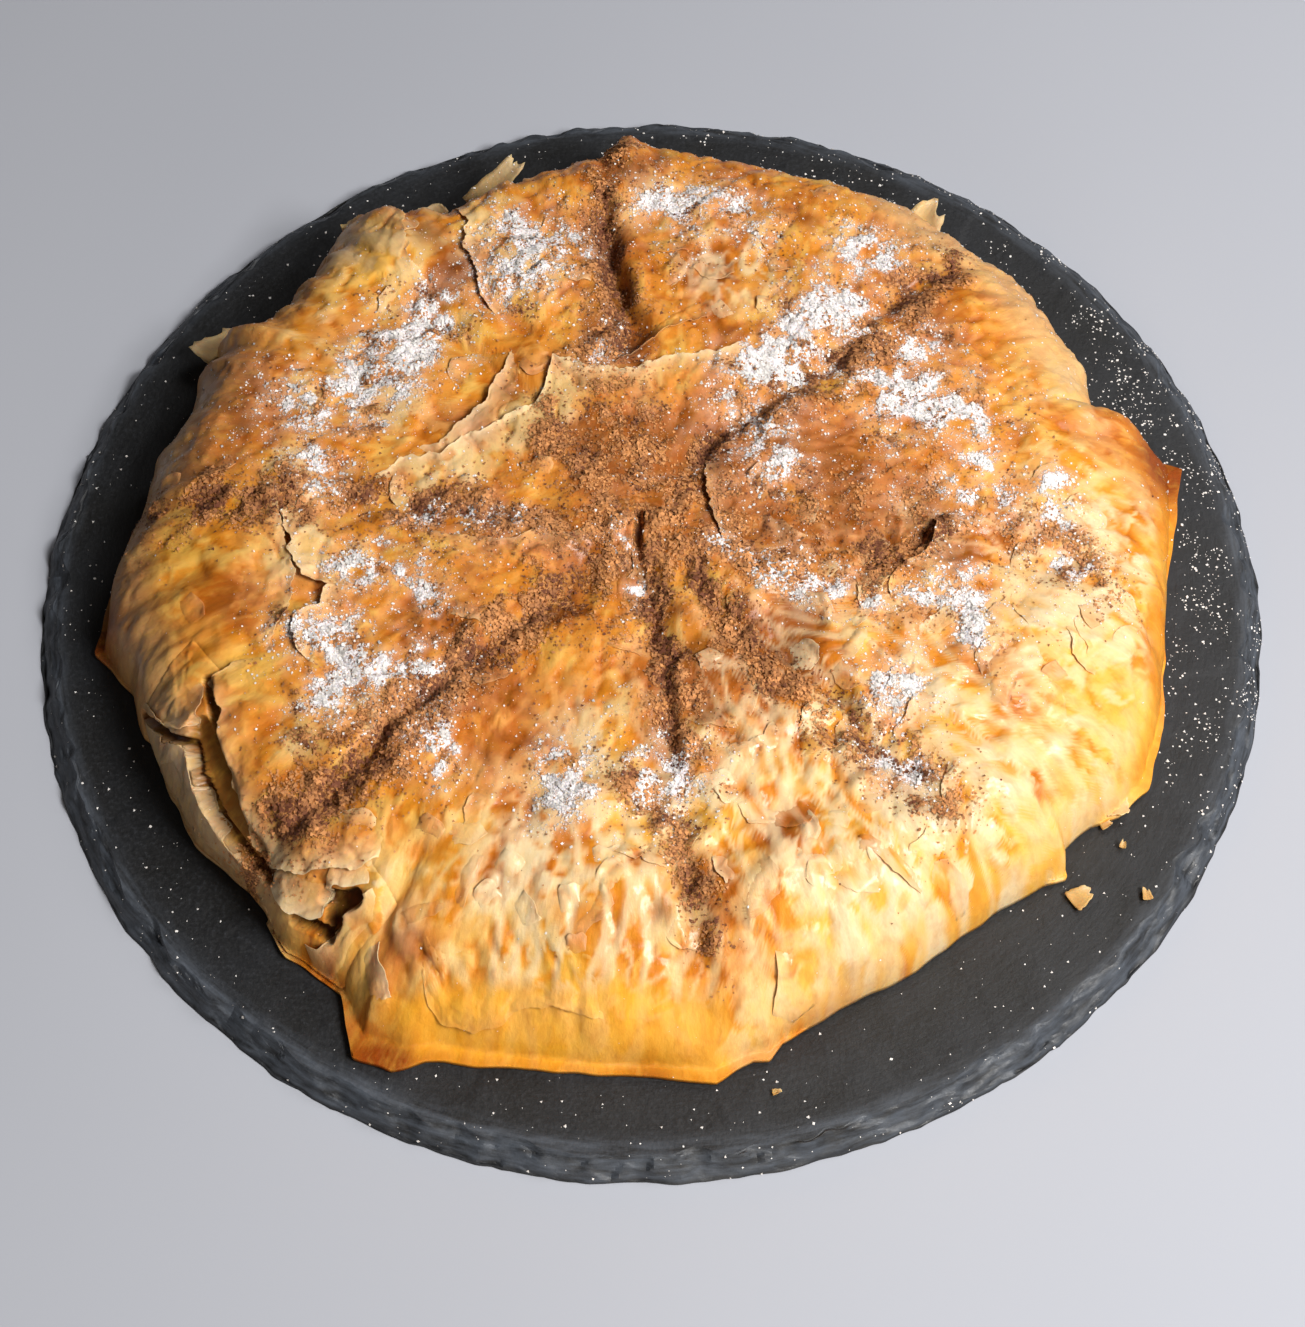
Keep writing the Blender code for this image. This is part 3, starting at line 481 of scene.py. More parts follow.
def buttered(x, y):
    """1 where the sheets are soaked, glossy and puffed, down to 0."""
    near = [np.hypot(x - wet_x, y - wet_y) / reach for wet_x, wet_y, reach in BUTTERED]
    return smooth_step(CRUMPLE_SPREAD - np.minimum.reduce(near))


def drawn_out(x, y, times):
    """Places squeezed toward the middle, so that noise over them is drawn out along the radius."""
    dx, dy = x - PIE_CENTRE[0], y - PIE_CENTRE[1]
    squeeze = (np.hypot(dx, dy) / STRETCH_RADIUS + 1e-6) ** (1 / times - 1)
    return dx * squeeze, dy * squeeze


def ridged(x, y, length, seed):
    """Narrow crests between wide soft hollows, about -0.8 to 0.6."""
    return RIDGE_TOP - 2 * np.sqrt(lattice_noise(x, y, length, seed) ** 2 + RIDGE_ROUNDING)


def creases(x, y):
    """1 along thin broken fold lines, down to 0 off them."""
    lines = np.zeros(np.shape(x))
    for length, sharp, seed in CREASE_LINES:
        line = np.exp(-(lattice_noise(x, y, length, seed) / sharp) ** 2)
        broken = smooth_step(0.5 + 2.0 * lattice_noise(x, y, length, seed + 3))
        lines = np.maximum(lines, line * broken)
    return lines


def drawn_ridges(x, y):
    """Crinkles that run outward."""
    return ridged(*drawn_out(x, y, CRINKLE_STRETCH), CRINKLE_LENGTH, 61)


def crest_lines(x, y):
    """1 along the thin raised edges of the crinkled sheets, down to 0 off them."""
    drawn = smooth_step((drawn_ridges(x, y) - 0.1) / 0.3)
    small = smooth_step((ridged(x, y, SMALL_CRINKLE_LENGTH, 64) - 0.15) / 0.25)
    broken = smooth_step(0.5 + 2 * lattice_noise(x, y, 12.0, 65))
    return np.maximum(drawn, 0.8 * small * broken)


def crumple(x, y):
    """Fine crumpling of the sheets, about -1.5 to 1.5 mm."""
    _, radius, _, angle = side_place(x, y)
    wet = np.maximum(front_right(x, y), 0.5 * buttered(x, y))
    left = turn_window(angle, 140, 240, 20) * smooth_step((radius - 95) / 15)
    out = smooth_step((radius - 40) / 40)
    u, v = drawn_out(x, y, CRINKLE_STRETCH)
    drawn = drawn_ridges(x, y) + 0.4 * ridged(u, v, 4.0, 62)
    even = lattice_noise(x, y, 16.0, 67) + 0.5 * ridged(x, y, 9.0, 70)
    soft = (0.2 + 0.16 * wet + 0.1 * smooth_step((radius - 70) / 40)) * (1 - 0.8 * left)
    sharp = 0.5 * facet_noise(u, v, 5.0, 73) + 0.3 * facet_noise(x, y, 2.6, 75)
    wide = (0.24 + 0.6 * wet) * (1 - 0.5 * left) * facet_noise(x, y, 11.0, 79)
    lines = creases(x, y) * (1 - 0.7 * left)
    fine = soft * (0.8 * out * drawn + 0.75 * even) + (0.18 + 0.5 * wet) * sharp
    return fine + wide - CREASE_DEPTH * lines


def loose_layers(x, y):
    """(how many loose layers lie over each place, tone of the top one from -1 to 1)."""
    layers, tone = np.zeros(np.shape(x)), np.zeros(np.shape(x))
    for k, (length, bare, shade) in enumerate(LOOSE_LAYERS):
        over = smooth_step((layered_noise(x, y, length, 130 + 7 * k, 3) - bare) / 0.06)
        layers = layers + over
        tone = tone * (1 - over) + shade * over
    return layers, tone


def turn_window(angle, start, end, soft):
    """1 between two directions in degrees, fading to 0 over `soft` degrees inside each end."""
    degrees = np.degrees(angle)
    into = (degrees - start) % 360
    return smooth_step(into / soft) * smooth_step(((end - start) % 360 - into) / soft)


def front_fold(x, y):
    """1 on the flat fold along the front rim, down to 0."""
    _, radius, outline, angle = side_place(x, y)
    near_rim = smooth_step((radius - outline + FRONT_FOLD_WIDTH) / 5)
    return turn_window(angle, *FRONT_FOLD, 4) * near_rim


def powder_relief(x, y):
    """Height of the heaped cinnamon and sugar."""
    rough = 0.6 + 0.7 * lattice_noise(x, y, 5.0, 78) + 0.4 * facet_noise(x, y, 2.2, 77)
    cinnamon, sugar = HEAP_HEIGHTS
    return rough * (cinnamon * cinnamon_density(x, y) + sugar * sugar_density(x, y))


def relief(x, y):
    """(height of all relief, height of its fine part, depth of a gash, the painted shade inside it),
    in mm.
    """
    side, _, _, angle = side_place(x, y)
    high = sum(height * lattice_noise(x, y, length, 20 + k)
               for k, (length, height) in enumerate(LUMP_SIZES))
    high = high - furrows(x, y) + mounds(x, y)
    ridges = 1 - 2 * np.abs(lattice_noise(x, y, CRUMPLE_LENGTH, 31))
    high = high + CRUMPLE_HEIGHT * ridges * front_right(x, y)
    pleat = np.sin(PLEATS * angle + PLEAT_BEND * lattice_noise(x, y, PLEAT_BEND_LENGTH, 33))
    on_side = smooth_step(side / PLEAT_STARTS) * smooth_step((1 - side) / PLEAT_STOPS)
    deep = turn_window(angle, *PLEATED_SIDE, PLEATED_FADE)
    walls = on_side * (PLEATED_ELSEWHERE + (1 - PLEATED_ELSEWHERE) * deep)
    fine = crumple(x, y) * (1 - 0.85 * front_fold(x, y))
    u, v = drawn_out(x, y, WALL_STRETCH)
    fine = fine + WALL_CRINKLE * facet_noise(u, v, WALL_CRINKLE_LENGTH, 75) * walls
    layers, _ = loose_layers(x, y)
    high = high + PLEAT_DEPTH * pleat * walls + fine
    high = high + LAYER_THICKNESS * layers + powder_relief(x, y)
    places = np.stack((x, y, plain_height(x, y)), axis=-1)
    gash = np.zeros(np.shape(x))
    dark = np.zeros(np.shape(x))
    for points, half_width, depth, painted_hole_shade in GASHES:
        line = np.array(points, float)
        line = np.column_stack((line, plain_height(line[:, 0], line[:, 1])))
        for k in range(len(line) - 1):
            middle = math.sin(math.pi * (k + 0.5) / (len(line) - 1))
            middle = GASH_END + (1 - GASH_END) * middle
            near = distance_to_run(places, line[k], line[k + 1]) / (half_width * middle)
            inside = smooth_step(2.6 - 1.9 * near)
            gash = np.maximum(gash, depth * inside)
            dark = np.maximum(dark, painted_hole_shade * inside)
    shared = 1 - 0.7 * smooth_step(gash)
    return high * smooth_step(side / RELIEF_FADE) * shared - gash, fine, gash, dark


def skin(x, y, lift=0.0):
    """Points of the pie's surface in mm, raised by `lift` along the plain surface's normal."""
    high, fine, _, _ = relief(x, y)
    place = np.stack((x, y, plain_height(x, y)), axis=-1)
    place = place + plain_normal(x, y) * (high + lift)[..., None]
    lowest = SLATE_THICKNESS + GAP_TO_SLATE + 0.4 * RIM_THICKNESS
    place[..., 2] = np.maximum(place[..., 2], lowest)
    return place, fine


# ==== the pie's colours ====
CREAM = srgb(224, 204, 164)
YELLOW = srgb(224, 168, 66)
GOLD = srgb(210, 131, 30)
AMBER = srgb(178, 96, 21)
BROWN = srgb(122, 62, 21)
BEIGE = srgb(184, 143, 96)
CORNER = srgb(129, 56, 6)
FOLD = srgb(232, 164, 42)
# the pale wall's colour, darkened with painted shade
SHADED_PALE_WALL = srgb(176, 150, 114)
STRIP = srgb(212, 174, 122)
INNER = srgb(150, 104, 46)
# painted shade for the inside of holes and gaps
HOLE_SHADE = srgb(62, 32, 15)
CRUMB = srgb(184, 148, 92)
STAIN = srgb(166, 98, 44)
DARK_STAIN_AND_SHADE = srgb(100, 54, 26)
SIDE_TINTS = (              # (colour, strength, from and to in degrees, softness, top, fade): the
    (BEIGE, 0.85, 150, 234, 14, 0.5, 0.3),      # thin sheets at the left,
    (SHADED_PALE_WALL, 0.8, 200, 235, 8, 0.34, 0.12),  # the palest wall, below the long tear, darkened with painted shade,
    (BEIGE, 0.5, 122, 186, 12, 0.8, 0.4),       # dull thin sheets behind them
    (STRIP, 0.7, 13, 62, 8, 0.8, 0.4),          # and a pale strip at the upper right
)


def blobs(x, y, places):
    """Sum of the hills of all places."""
    return sum((hill(x, y, *place) for place in places), np.zeros(np.shape(x)))


def haze(x, y, places):
    """The strongest of all places."""
    strengths = [strength * hill(x, y, *place) for *place, strength in places]
    return np.maximum.reduce([np.zeros(np.shape(x)), *strengths])


def strokes(x, y, runs, reach=1.0):
    """Greatest strength of any stroke at each point, `reach` widening all of them."""
    wander = 3.0 * layered_noise(x, y, 12.0, 81)
    points = np.stack((x + wander, y - wander), axis=-1)
    total = np.zeros(np.shape(x))
    for ax, ay, bx, by, half_width, *strength in runs:
        near = distance_to_run(points, (ax, ay), (bx, by)) / (half_width * reach)
        total = np.maximum(total, (strength or [1.0])[0] * np.exp(-near ** 2 * 0.7))
    return total


def clean(x, y):
    """1 in the bare pockets."""
    return np.clip(blobs(x, y, CLEAN_PLACES), 0, 1)


def cinnamon_density(x, y):
    """How thick the cinnamon lies, 0 to 1: strokes, a thin haze and a skirt round the sugar."""
    patches = 0.8 + 0.9 * layered_noise(x, y, 11.0, 83, 2) + 0.6 * layered_noise(x, y, 4.5, 84)
    heap = strokes(x, y, CINNAMON_STROKES, 1.15) * np.clip(patches, 0.05, 1.4)
    thin = haze(x, y, CINNAMON_HAZE) * np.clip(0.6 + 1.4 * layered_noise(x, y, 8.0, 86), 0, 2)
    gaps = np.clip(0.3 + 1.6 * layered_noise(x, y, 7.0, 85, 2), 0, 1.5)
    skirt = strokes(x, y, SUGAR_PATCHES, 3.0) * gaps * (1 - 0.7 * buttered(x, y))
    return np.clip(0.95 * heap + 0.42 * thin + 0.42 * skirt, 0, 1) * (1 - 0.9 * clean(x, y))


def cinnamon_tone_and_shade(x, y):
    """1 where the cinnamon is dark, 0 where it is tan, with painted shade darkening it in the furrows
    and in the hollows between its heaps.
    """
    dark = 0.2 + 0.26 * furrows(x, y) + 0.7 * layered_noise(x, y, 13.0, 89, 2)
    dark = dark - 0.5 * lattice_noise(x, y, 5.0, 78)
    return np.clip(dark, 0, 1)


def sugar_density(x, y):
    """How thick the sugar lies, 0 to 1: patches, their skirts, a haze and a little far up."""
    clumps = 1 + 0.9 * layered_noise(x, y, 14.0, 87, 2) + 1.2 * layered_noise(x, y, 5.0, 88)
    clumps = np.clip(clumps, 0, 2)
    heap = strokes(x, y, SUGAR_PATCHES, 0.9) * clumps
    skirt = strokes(x, y, SUGAR_PATCHES, 2.4) * clumps
    thin = haze(x, y, SUGAR_HAZE) * np.clip(0.5 + 1.6 * layered_noise(x, y, 6.0, 92), 0, 2)
    cloudy = smooth_step(0.5 + 1.4 * layered_noise(x, y, 13.0, 96))
    upper = 0.045 * smooth_step(0.3 + y / 90) * cloudy
    total = np.clip(0.48 * heap + 0.32 * skirt + 0.3 * thin + upper, 0, 1)
    return total * (1 - 0.85 * clean(x, y))


def baking_and_light_level(x, y, crest, tone, wet):
    """How far the filo is baked, yellow at 0 and under, gold at 0.5, brown well past 1, with painted
    shade in hollows and creases and painted highlight on crests.
    """
    baking_and_light = 0.48 + 0.3 * layered_noise(x, y, 34.0, 101) + 0.36 * layered_noise(x, y, 14.0, 106)
    baking_and_light = baking_and_light + 0.6 * blobs(x, y, TOASTED_PLACES) - 0.45 * blobs(x, y, PALE_PLACES)
    # the crest term: crests paler and hollows browner, partly the sheets' own dry edges and buttery
    # hollows, partly painted highlight and painted shade
    baking_and_light = baking_and_light + 0.1 * smooth_step(0.5 + y / 120) - 0.3 * crest - (0.2 + 0.15 * wet) * tone
    # painted shade: the hollows between mounds are browner, the swellings paler
    baking_and_light = baking_and_light - 0.14 * mounds(x, y)
    # painted shade along the crease lines, and painted highlight along the crest lines
    return baking_and_light + 0.3 * creases(x, y) - 0.3 * (crest_lines(x, y) - 0.3)


def filo_colour(x, y, fine):
    """Colour of the filo with its tears, stains, painted shade and painted highlights, `fine` being
    its fine relief.
    """
    side, radius, outline, angle = side_place(x, y)
    _, tone = loose_layers(x, y)
    wet = buttered(x, y)
    crest = np.clip(fine, -1.2, 1.2) * (0.4 + 0.6 * wet)
    baking_and_light = baking_and_light_level(x, y, crest, tone, wet)
    right_band = smooth_step((radius - outline + RIGHT_BAND_WIDTH) / 5)
    right_band = turn_window(angle, *RIGHT_BAND, 6) * right_band
    baking_and_light = baking_and_light + (0.3 - baking_and_light) * 0.8 * right_band
    colour = mix(YELLOW + 0 * baking_and_light[..., None], GOLD, smooth_step(baking_and_light / 0.5))
    colour = mix(colour, AMBER, smooth_step((baking_and_light - 0.5) / 0.6))
    colour = mix(colour, BROWN, 0.6 * smooth_step((baking_and_light - 1.0) / 0.5))
    pale = np.clip(0.1 + blobs(x, y, PALE_PLACES), 0, 1)
    # the pale places are palest on crests: partly pale dry sheet edges, partly painted highlight
    pale = pale * smooth_step(0.32 + 0.8 * crest + (0.25 + 0.25 * wet) * tone)
    colour = mix(colour, CREAM, 0.9 * pale * (1 - right_band))
    # cream along the crest lines, strongest where buttered: partly pale dry sheet edges, partly
    # painted highlight
    colour = mix(colour, CREAM, (0.06 + 0.6 * wet) * crest_lines(x, y) * (1 - right_band))
    colour = mix(colour, FOLD, 0.8 * front_fold(x, y))
    rim = smooth_step((radius - outline + BAKED_RIM_WIDTH) / BAKED_RIM_WIDTH)
    colour = mix(colour, AMBER, 0.4 * turn_window(angle, *BAKED_RIM, 6) * rim)
    for tint, strength, start, end, soft, top, fade in SIDE_TINTS:
        window = turn_window(angle, start, end, soft) * smooth_step((top - side) / fade)
        colour = mix(colour, tint, strength * window)
    colour = mix(colour, CORNER, 0.95 * blobs(x, y, BROWN_CORNERS))
    # painted shade in the shaded places
    colour = mix(colour, 0.8 * BROWN, 0.7 * np.clip(blobs(x, y, SHADED_PLACES), 0, 1))
    _, _, gash, dark = relief(x, y)
    colour = mix(colour, INNER, smooth_step(gash / 1.2))
    # painted shade: the gashes are painted dark inside, darkest in the pits and holes
    colour = mix(colour, HOLE_SHADE, dark * smooth_step(gash / 2.0))
    cinnamon = cinnamon_density(x, y)
    # the cinnamon's own stain, with painted shade in the furrows and hollows
    cinnamon_stain_and_shade = mix(STAIN, DARK_STAIN_AND_SHADE, cinnamon_tone_and_shade(x, y))
    colour = mix(colour, cinnamon_stain_and_shade, 0.5 * smooth_step(1.4 * cinnamon))
    shadow = smooth_step(furrows(x, y) / 3.4) * (0.15 + 0.4 * smooth_step(1.6 * cinnamon))
    return mix(colour, 0.5 * BROWN, shadow)


# ==== meshes from arrays ====
def new_piece(name, points, *faces, smooth=True):
    """An object from points in mm and arrays of faces, each with one number of corners."""
    corners = np.concatenate([array.ravel() for array in faces]).astype(np.int32)
    sizes = np.concatenate([np.full(len(array), array.shape[1]) for array in faces])
    starts = (np.cumsum(sizes) - sizes).astype(np.int32)
    mesh = bpy.data.meshes.new(name)
    mesh.vertices.add(len(points))
    mesh.vertices.foreach_set("co", (points * MM).astype(np.float32).ravel())
    mesh.loops.add(len(corners))
    mesh.loops.foreach_set("vertex_index", corners)
    mesh.polygons.add(len(sizes))
    mesh.polygons.foreach_set("loop_start", starts)
    mesh.polygons.foreach_set("use_smooth", np.full(len(sizes), smooth))
    mesh.update(calc_edges=True)
    piece = bpy.data.objects.new(name, mesh)
    bpy.context.scene.collection.objects.link(piece)
    return piece


def add_colours(piece, name, colours):
    """Three numbers from 0 to 1 for each vertex under `name`."""
    full = np.ones((len(colours), 4), np.float32)
    full[:, :3] = np.clip(colours, 0, 1)
    piece.data.attributes.new(name, "FLOAT_COLOR", "POINT").data.foreach_set("color", full.ravel())


def paint_filo(piece, x, y, colour):
    """Stores the filo's colour, and how much sugar, cinnamon and butter lie on it."""
    sugar, cinnamon = sugar_density(x, y), cinnamon_density(x, y)
    wet = 0.25 + 0.6 * buttered(x, y) - 0.3 * sugar
    butter = smooth_step(wet + 0.7 * layered_noise(x, y, 18.0, 120))
    butter = butter * (1 - blobs(x, y, BROWN_CORNERS))
    add_colours(piece, "tint", colour)
    add_colours(piece, "dust", np.column_stack((sugar, cinnamon, butter)))


def grid_faces(rows, columns):
    """Quads of a grid whose points are stored row by row."""
    row, column = np.meshgrid(np.arange(rows - 1), np.arange(columns - 1), indexing="ij")
    a = (row * columns + column).ravel()
    return np.column_stack((a, a + 1, a + 1 + columns, a + columns))


# ==== the pie's skin ====
SKIN_CELLS = 306            # along each side of the square grid
SECTION_SAMPLES = 400


def section_spacing():
    """Share of the radius reached at each equal step along a typical section's surface."""
    radii = np.linspace(0, 1, SECTION_SAMPLES)
    side = np.clip((1 - radii) / (1 - SHOULDER_RADIUS / CORNER_FROM), 0, 1)
    rise = SIDE_RISE * (1 - (1 - side) ** SIDE_ROUNDNESS) ** (1 / SIDE_ROUNDNESS)
    steps = np.hypot(np.diff(radii) * CORNER_FROM, np.diff(rise))
    travelled = np.concatenate(([0], np.cumsum(steps)))
    return travelled / travelled[-1], radii


def disc_grid(cells):
    """Grid of (share along the section, angle), a square folded into a disc with no pole."""
    line = np.linspace(-1, 1, cells + 1)
    a, b = np.meshgrid(line, line)
    wide = np.abs(a) > np.abs(b)
    share = np.where(wide, np.abs(a), np.abs(b))
    with np.errstate(divide="ignore", invalid="ignore"):
        turn = np.where(wide, math.pi / 4 * b / a, math.pi / 2 - math.pi / 4 * a / b)
    turn = np.where(share == 0, 0, turn)
    signed = np.where(wide, a, b)
    return share, np.arctan2(signed * np.sin(turn), signed * np.cos(turn))


def make_skin():
    """The pie's closed skin: its top, a short upright rim and the flat underside."""
    share, angle = disc_grid(SKIN_CELLS)
    travelled, radii = section_spacing()
    radius = np.interp(share, travelled, radii) * outline_radius(angle)
    x = (PIE_CENTRE[0] + radius * np.cos(angle)).ravel()
    y = (PIE_CENTRE[1] + radius * np.sin(angle)).ravel()
    top, fine = skin(x, y, -sunk_under_patches(x, y))
    across = SKIN_CELLS + 1
    loop = np.concatenate((np.arange(SKIN_CELLS), np.arange(SKIN_CELLS) * across + SKIN_CELLS,
                           SKIN_CELLS * across + np.arange(SKIN_CELLS, 0, -1),
                           np.arange(SKIN_CELLS, 0, -1) * across))
    foot = top[loop].copy()
    foot[:, 2] = SLATE_THICKNESS + GAP_TO_SLATE
    middle = np.array([[*PIE_CENTRE, SLATE_THICKNESS + GAP_TO_SLATE]])
    points = np.concatenate((top, foot, middle))
    low = len(top)
    here = np.arange(len(loop))
    after = (here + 1) % len(loop)
    sides = np.column_stack((loop, low + here, low + after, loop[after]))
    under = np.column_stack((low + here, np.full(len(here), len(points) - 1), low + after))
    piece = new_piece("filo_skin", points, grid_faces(across, across), sides, under)
    colour = filo_colour(points[:, 0], points[:, 1], np.concatenate((fine, fine[loop], [0.0])))
    paint_filo(piece, points[:, 0], points[:, 1], colour)
    return piece


FINE_PATCHES = (            # (name, x, y, degrees along, half length, half width)
    ("torn_side", -99.0, -79.0, -52.6, 46.0, 14.0), ("right_hole", 69.0, -8.0, 0.0, 9.0, 8.0),
    ("middle_crack", -2.4, -11.0, 90.0, 16.0, 7.0),
)
PATCH_CELL = 0.42
PATCH_EDGE = 3.0            # a patch dips under the skin this near its border
PATCH_SINK = 1.2            # how far the coarse skin lies under a patch
PATCH_LIFT = 0.06
PATCH_DIP = 0.5


def patch_share(x, y, px, py, degrees, half_length, half_width):
    """1 inside a patch, down to 0 at its border."""
    turn = math.radians(degrees)
    along = (x - px) * math.cos(turn) + (y - py) * math.sin(turn)
    across = (y - py) * math.cos(turn) - (x - px) * math.sin(turn)
    inside = np.minimum(half_length - np.abs(along), half_width - np.abs(across))
    return smooth_step(inside / PATCH_EDGE)


def sunk_under_patches(x, y):
    """How far the coarse skin lies under the finer patches."""
    return PATCH_SINK * np.maximum.reduce([patch_share(x, y, *form) for _, *form in FINE_PATCHES])


def patch_layers(px, py, degrees, half_length, half_width):
    """(top points, under points, x, y, colours) of one finer patch of the skin."""
    turn = math.radians(degrees)
    steps = [np.arange(-half, half, PATCH_CELL) for half in (half_length, half_width)]
    along, across = np.meshgrid(*steps, indexing="ij")
    x, y = keep_on_pie(px + along * math.cos(turn) - across * math.sin(turn),
                       py + along * math.sin(turn) + across * math.cos(turn))
    border = patch_share(x, y, px, py, degrees, half_length, half_width)
    top, fine = skin(x, y, PATCH_LIFT - PATCH_DIP * (1 - smooth_step(2 * border)))
    return [top, top - SHEET_THICKNESS * plain_normal(x, y), x, y, filo_colour(x, y, fine)]


# ==== torn sheets ====
def along_edge(points, spacing):
    """The torn edge's points at an even spacing, and the distance along it."""
    points = np.array(points, float)
    lengths = np.concatenate(([0], np.cumsum(np.linalg.norm(np.diff(points, axis=0), axis=1))))
    at = np.linspace(0, lengths[-1], max(8, round(lengths[-1] / spacing)))
    return np.interp(at, lengths, points[:, 0]), np.interp(at, lengths, points[:, 1]), at


def keep_on_pie(x, y):
    """The points, those past the pie's outline moved back just inside it."""
    _, radius, outline, angle = side_place(x, y)
    radius = np.minimum(radius, outline - 1.0)
    return PIE_CENTRE[0] + radius * np.cos(angle), PIE_CENTRE[1] + radius * np.sin(angle)


def torn_jag(at, seed):
    """How far a torn edge wanders in and out at each distance along it."""
    jag = 1.6 * layered_noise(at, 0 * at, 9.0, seed, 2)
    jag = jag + 0.8 * facet_noise(at, 0 * at, 2.4, seed + 3)
    jag = jag + np.random.default_rng(seed).uniform(-0.25, 0.25, len(at))
    return jag * min(1.0, at[-1] / 30)


def sheet_layers(seed, points, toward, depth, lift, curl, pale, columns=SHEET_COLUMNS, tone=0.0):
    """(top points, under points, x, y, colours) of one torn sheet lying on the pie."""
    turn = math.radians(toward)
    direction = np.array((math.cos(turn), math.sin(turn)))
    x, y, at = along_edge(points, SHEET_STEP)
    jag = torn_jag(at, seed) * plain_normal(*keep_on_pie(x, y))[..., 2] ** 1.5
    inward = (np.arange(columns) / (columns - 1)) ** SHEET_CROWDING
    slide = inward[None, :] * depth + jag[:, None] * (1 - inward[None, :]) ** 3
    px, py = keep_on_pie(x[:, None] + direction[0] * slide, y[:, None] + direction[1] * slide)
    ends = np.sin(np.linspace(0, math.pi, len(at))) ** SHEET_END_POWER
    wave = 1 + 0.5 * lattice_noise(at, 0 * at, 16.0, seed + 5)
    wave = wave + 0.25 * lattice_noise(at, 0 * at, 6.0, seed + 6)
    raised = lift * (1 - inward) ** 2 + curl * np.exp(-inward * depth / CURL_WIDTH)
    offset = SHEET_CLEARANCE + raised[None, :] * (ends * wave)[:, None]
    tucked = smooth_step((inward[None, :] - SHEET_TUCK_FROM) / (1 - SHEET_TUCK_FROM))
    offset = offset - SHEET_TUCK * tucked - SHEET_END_DIP * (1 - ends)[:, None]
    offset = offset + 0.3 * facet_noise(px, py, 5.0, seed + 8) * (1 - inward) ** 2
    top, fine = skin(px, py, offset)
    under = top - SHEET_THICKNESS * plain_normal(px, py)
    paleness = pale * np.exp(-inward * depth / 3.0)[None, :] + 0 * px
    colour = mix(filo_colour(px, py, fine), CREAM, paleness)
    colour = mix(colour, CREAM if tone > 0 else AMBER, abs(tone) + 0 * px)
    layers = [top, under, px, py, colour]
    if np.cross(np.array((px[-1, 0] - px[0, 0], py[-1, 0] - py[0, 0])), direction) < 0:
        layers = [value[::-1] for value in layers]
    return [value[:, ::-1] for value in layers]


def shell_arrays(top, under):
    """(points, faces) of a closed thin piece between two grids of points."""
    rows, columns, _ = top.shape
    low = rows * columns
    faces = grid_faces(rows, columns)
    ring = np.concatenate((np.arange(columns - 1), np.arange(rows - 1) * columns + columns - 1,
                           (rows - 1) * columns + np.arange(columns - 1, 0, -1),
                           np.arange(rows - 1, 0, -1) * columns))
    after = np.roll(ring, -1)
    sides = np.column_stack((after, ring, ring + low, after + low))
    points = np.concatenate((top.reshape(-1, 3), under.reshape(-1, 3)))
    return points, np.concatenate((faces, faces[:, ::-1] + low, sides))


def sheet_piece(name, sheets):
    """One object from the layers of one or more sheets."""
    points, faces, xs, ys, colours = [], [], [], [], []
    count = 0
    for top, under, px, py, colour in sheets:
        shell_points, shell_faces = shell_arrays(top, under)
        points.append(shell_points)
        faces.append(shell_faces + count)
        count += len(shell_points)
        xs.append(np.tile(px.ravel(), 2))
        ys.append(np.tile(py.ravel(), 2))
        # painted shade: each sheet's under side is a darker copy of its top colour
        colours.append(np.concatenate((colour.reshape(-1, 3), 0.85 * colour.reshape(-1, 3))))
    piece = new_piece(name, np.concatenate(points), np.concatenate(faces))
    paint_filo(piece, np.concatenate(xs), np.concatenate(ys), np.concatenate(colours))
    return piece


FAR_TIPS = (                # (x, y, z, degrees outward, reach, width, rise, shade) of loose tips, shade darkening a tip with painted shade
    (74, 108, 17.5, 53, 14.0, 14, 4.0, 0.7), (-50, 120, 18.5, 52, 17.5, 10, 2.5, 0.45),
    (-114, 72, 11.5, 152, 15.0, 18, 1.0, 0.55), (-62, 113, 19.0, 100, 6.0, 12, 2.0, 0.45),
    (-80, 106, 20.0, 130, 8.0, 12, 2.5, 0.7), (-70, 103, 27.0, 110, 4.0, 13, 2.5, 0.8),
    (98, -84, 9.5, -36, 8.5, 10, -1.0, 0.8), (118.5, -66.5, 9.0, -15, 6.0, 9, -0.5, 0.8),
)
TIP_BOW = 0.8               # how far a tip's sides stand over its middle
TIP_COLOUR = mix(YELLOW, CREAM, np.array(0.6))
LOOSE_FLAKES = (            # (x, y, degrees, reach, width) of flakes on the slate
    (107.0, -94.5, 35.0, 8.0, 6.0), (126.5, -93.6, 100.0, 3.2, 2.6), (116.0, -72.8, 20.0, 3.2, 2.6),
    (121.0, -79.0, 70.0, 2.2, 1.8), (30.0, -146.0, 10.0, 2.4, 1.6),
)
FLAKE_ROWS = 9
FLAKE_COLUMNS = 11
FLAKE_HEIGHT = 0.75         # of loose flakes over the slate
FLAKE_RISE = 0.2
FLAKE_BOW = 0.5


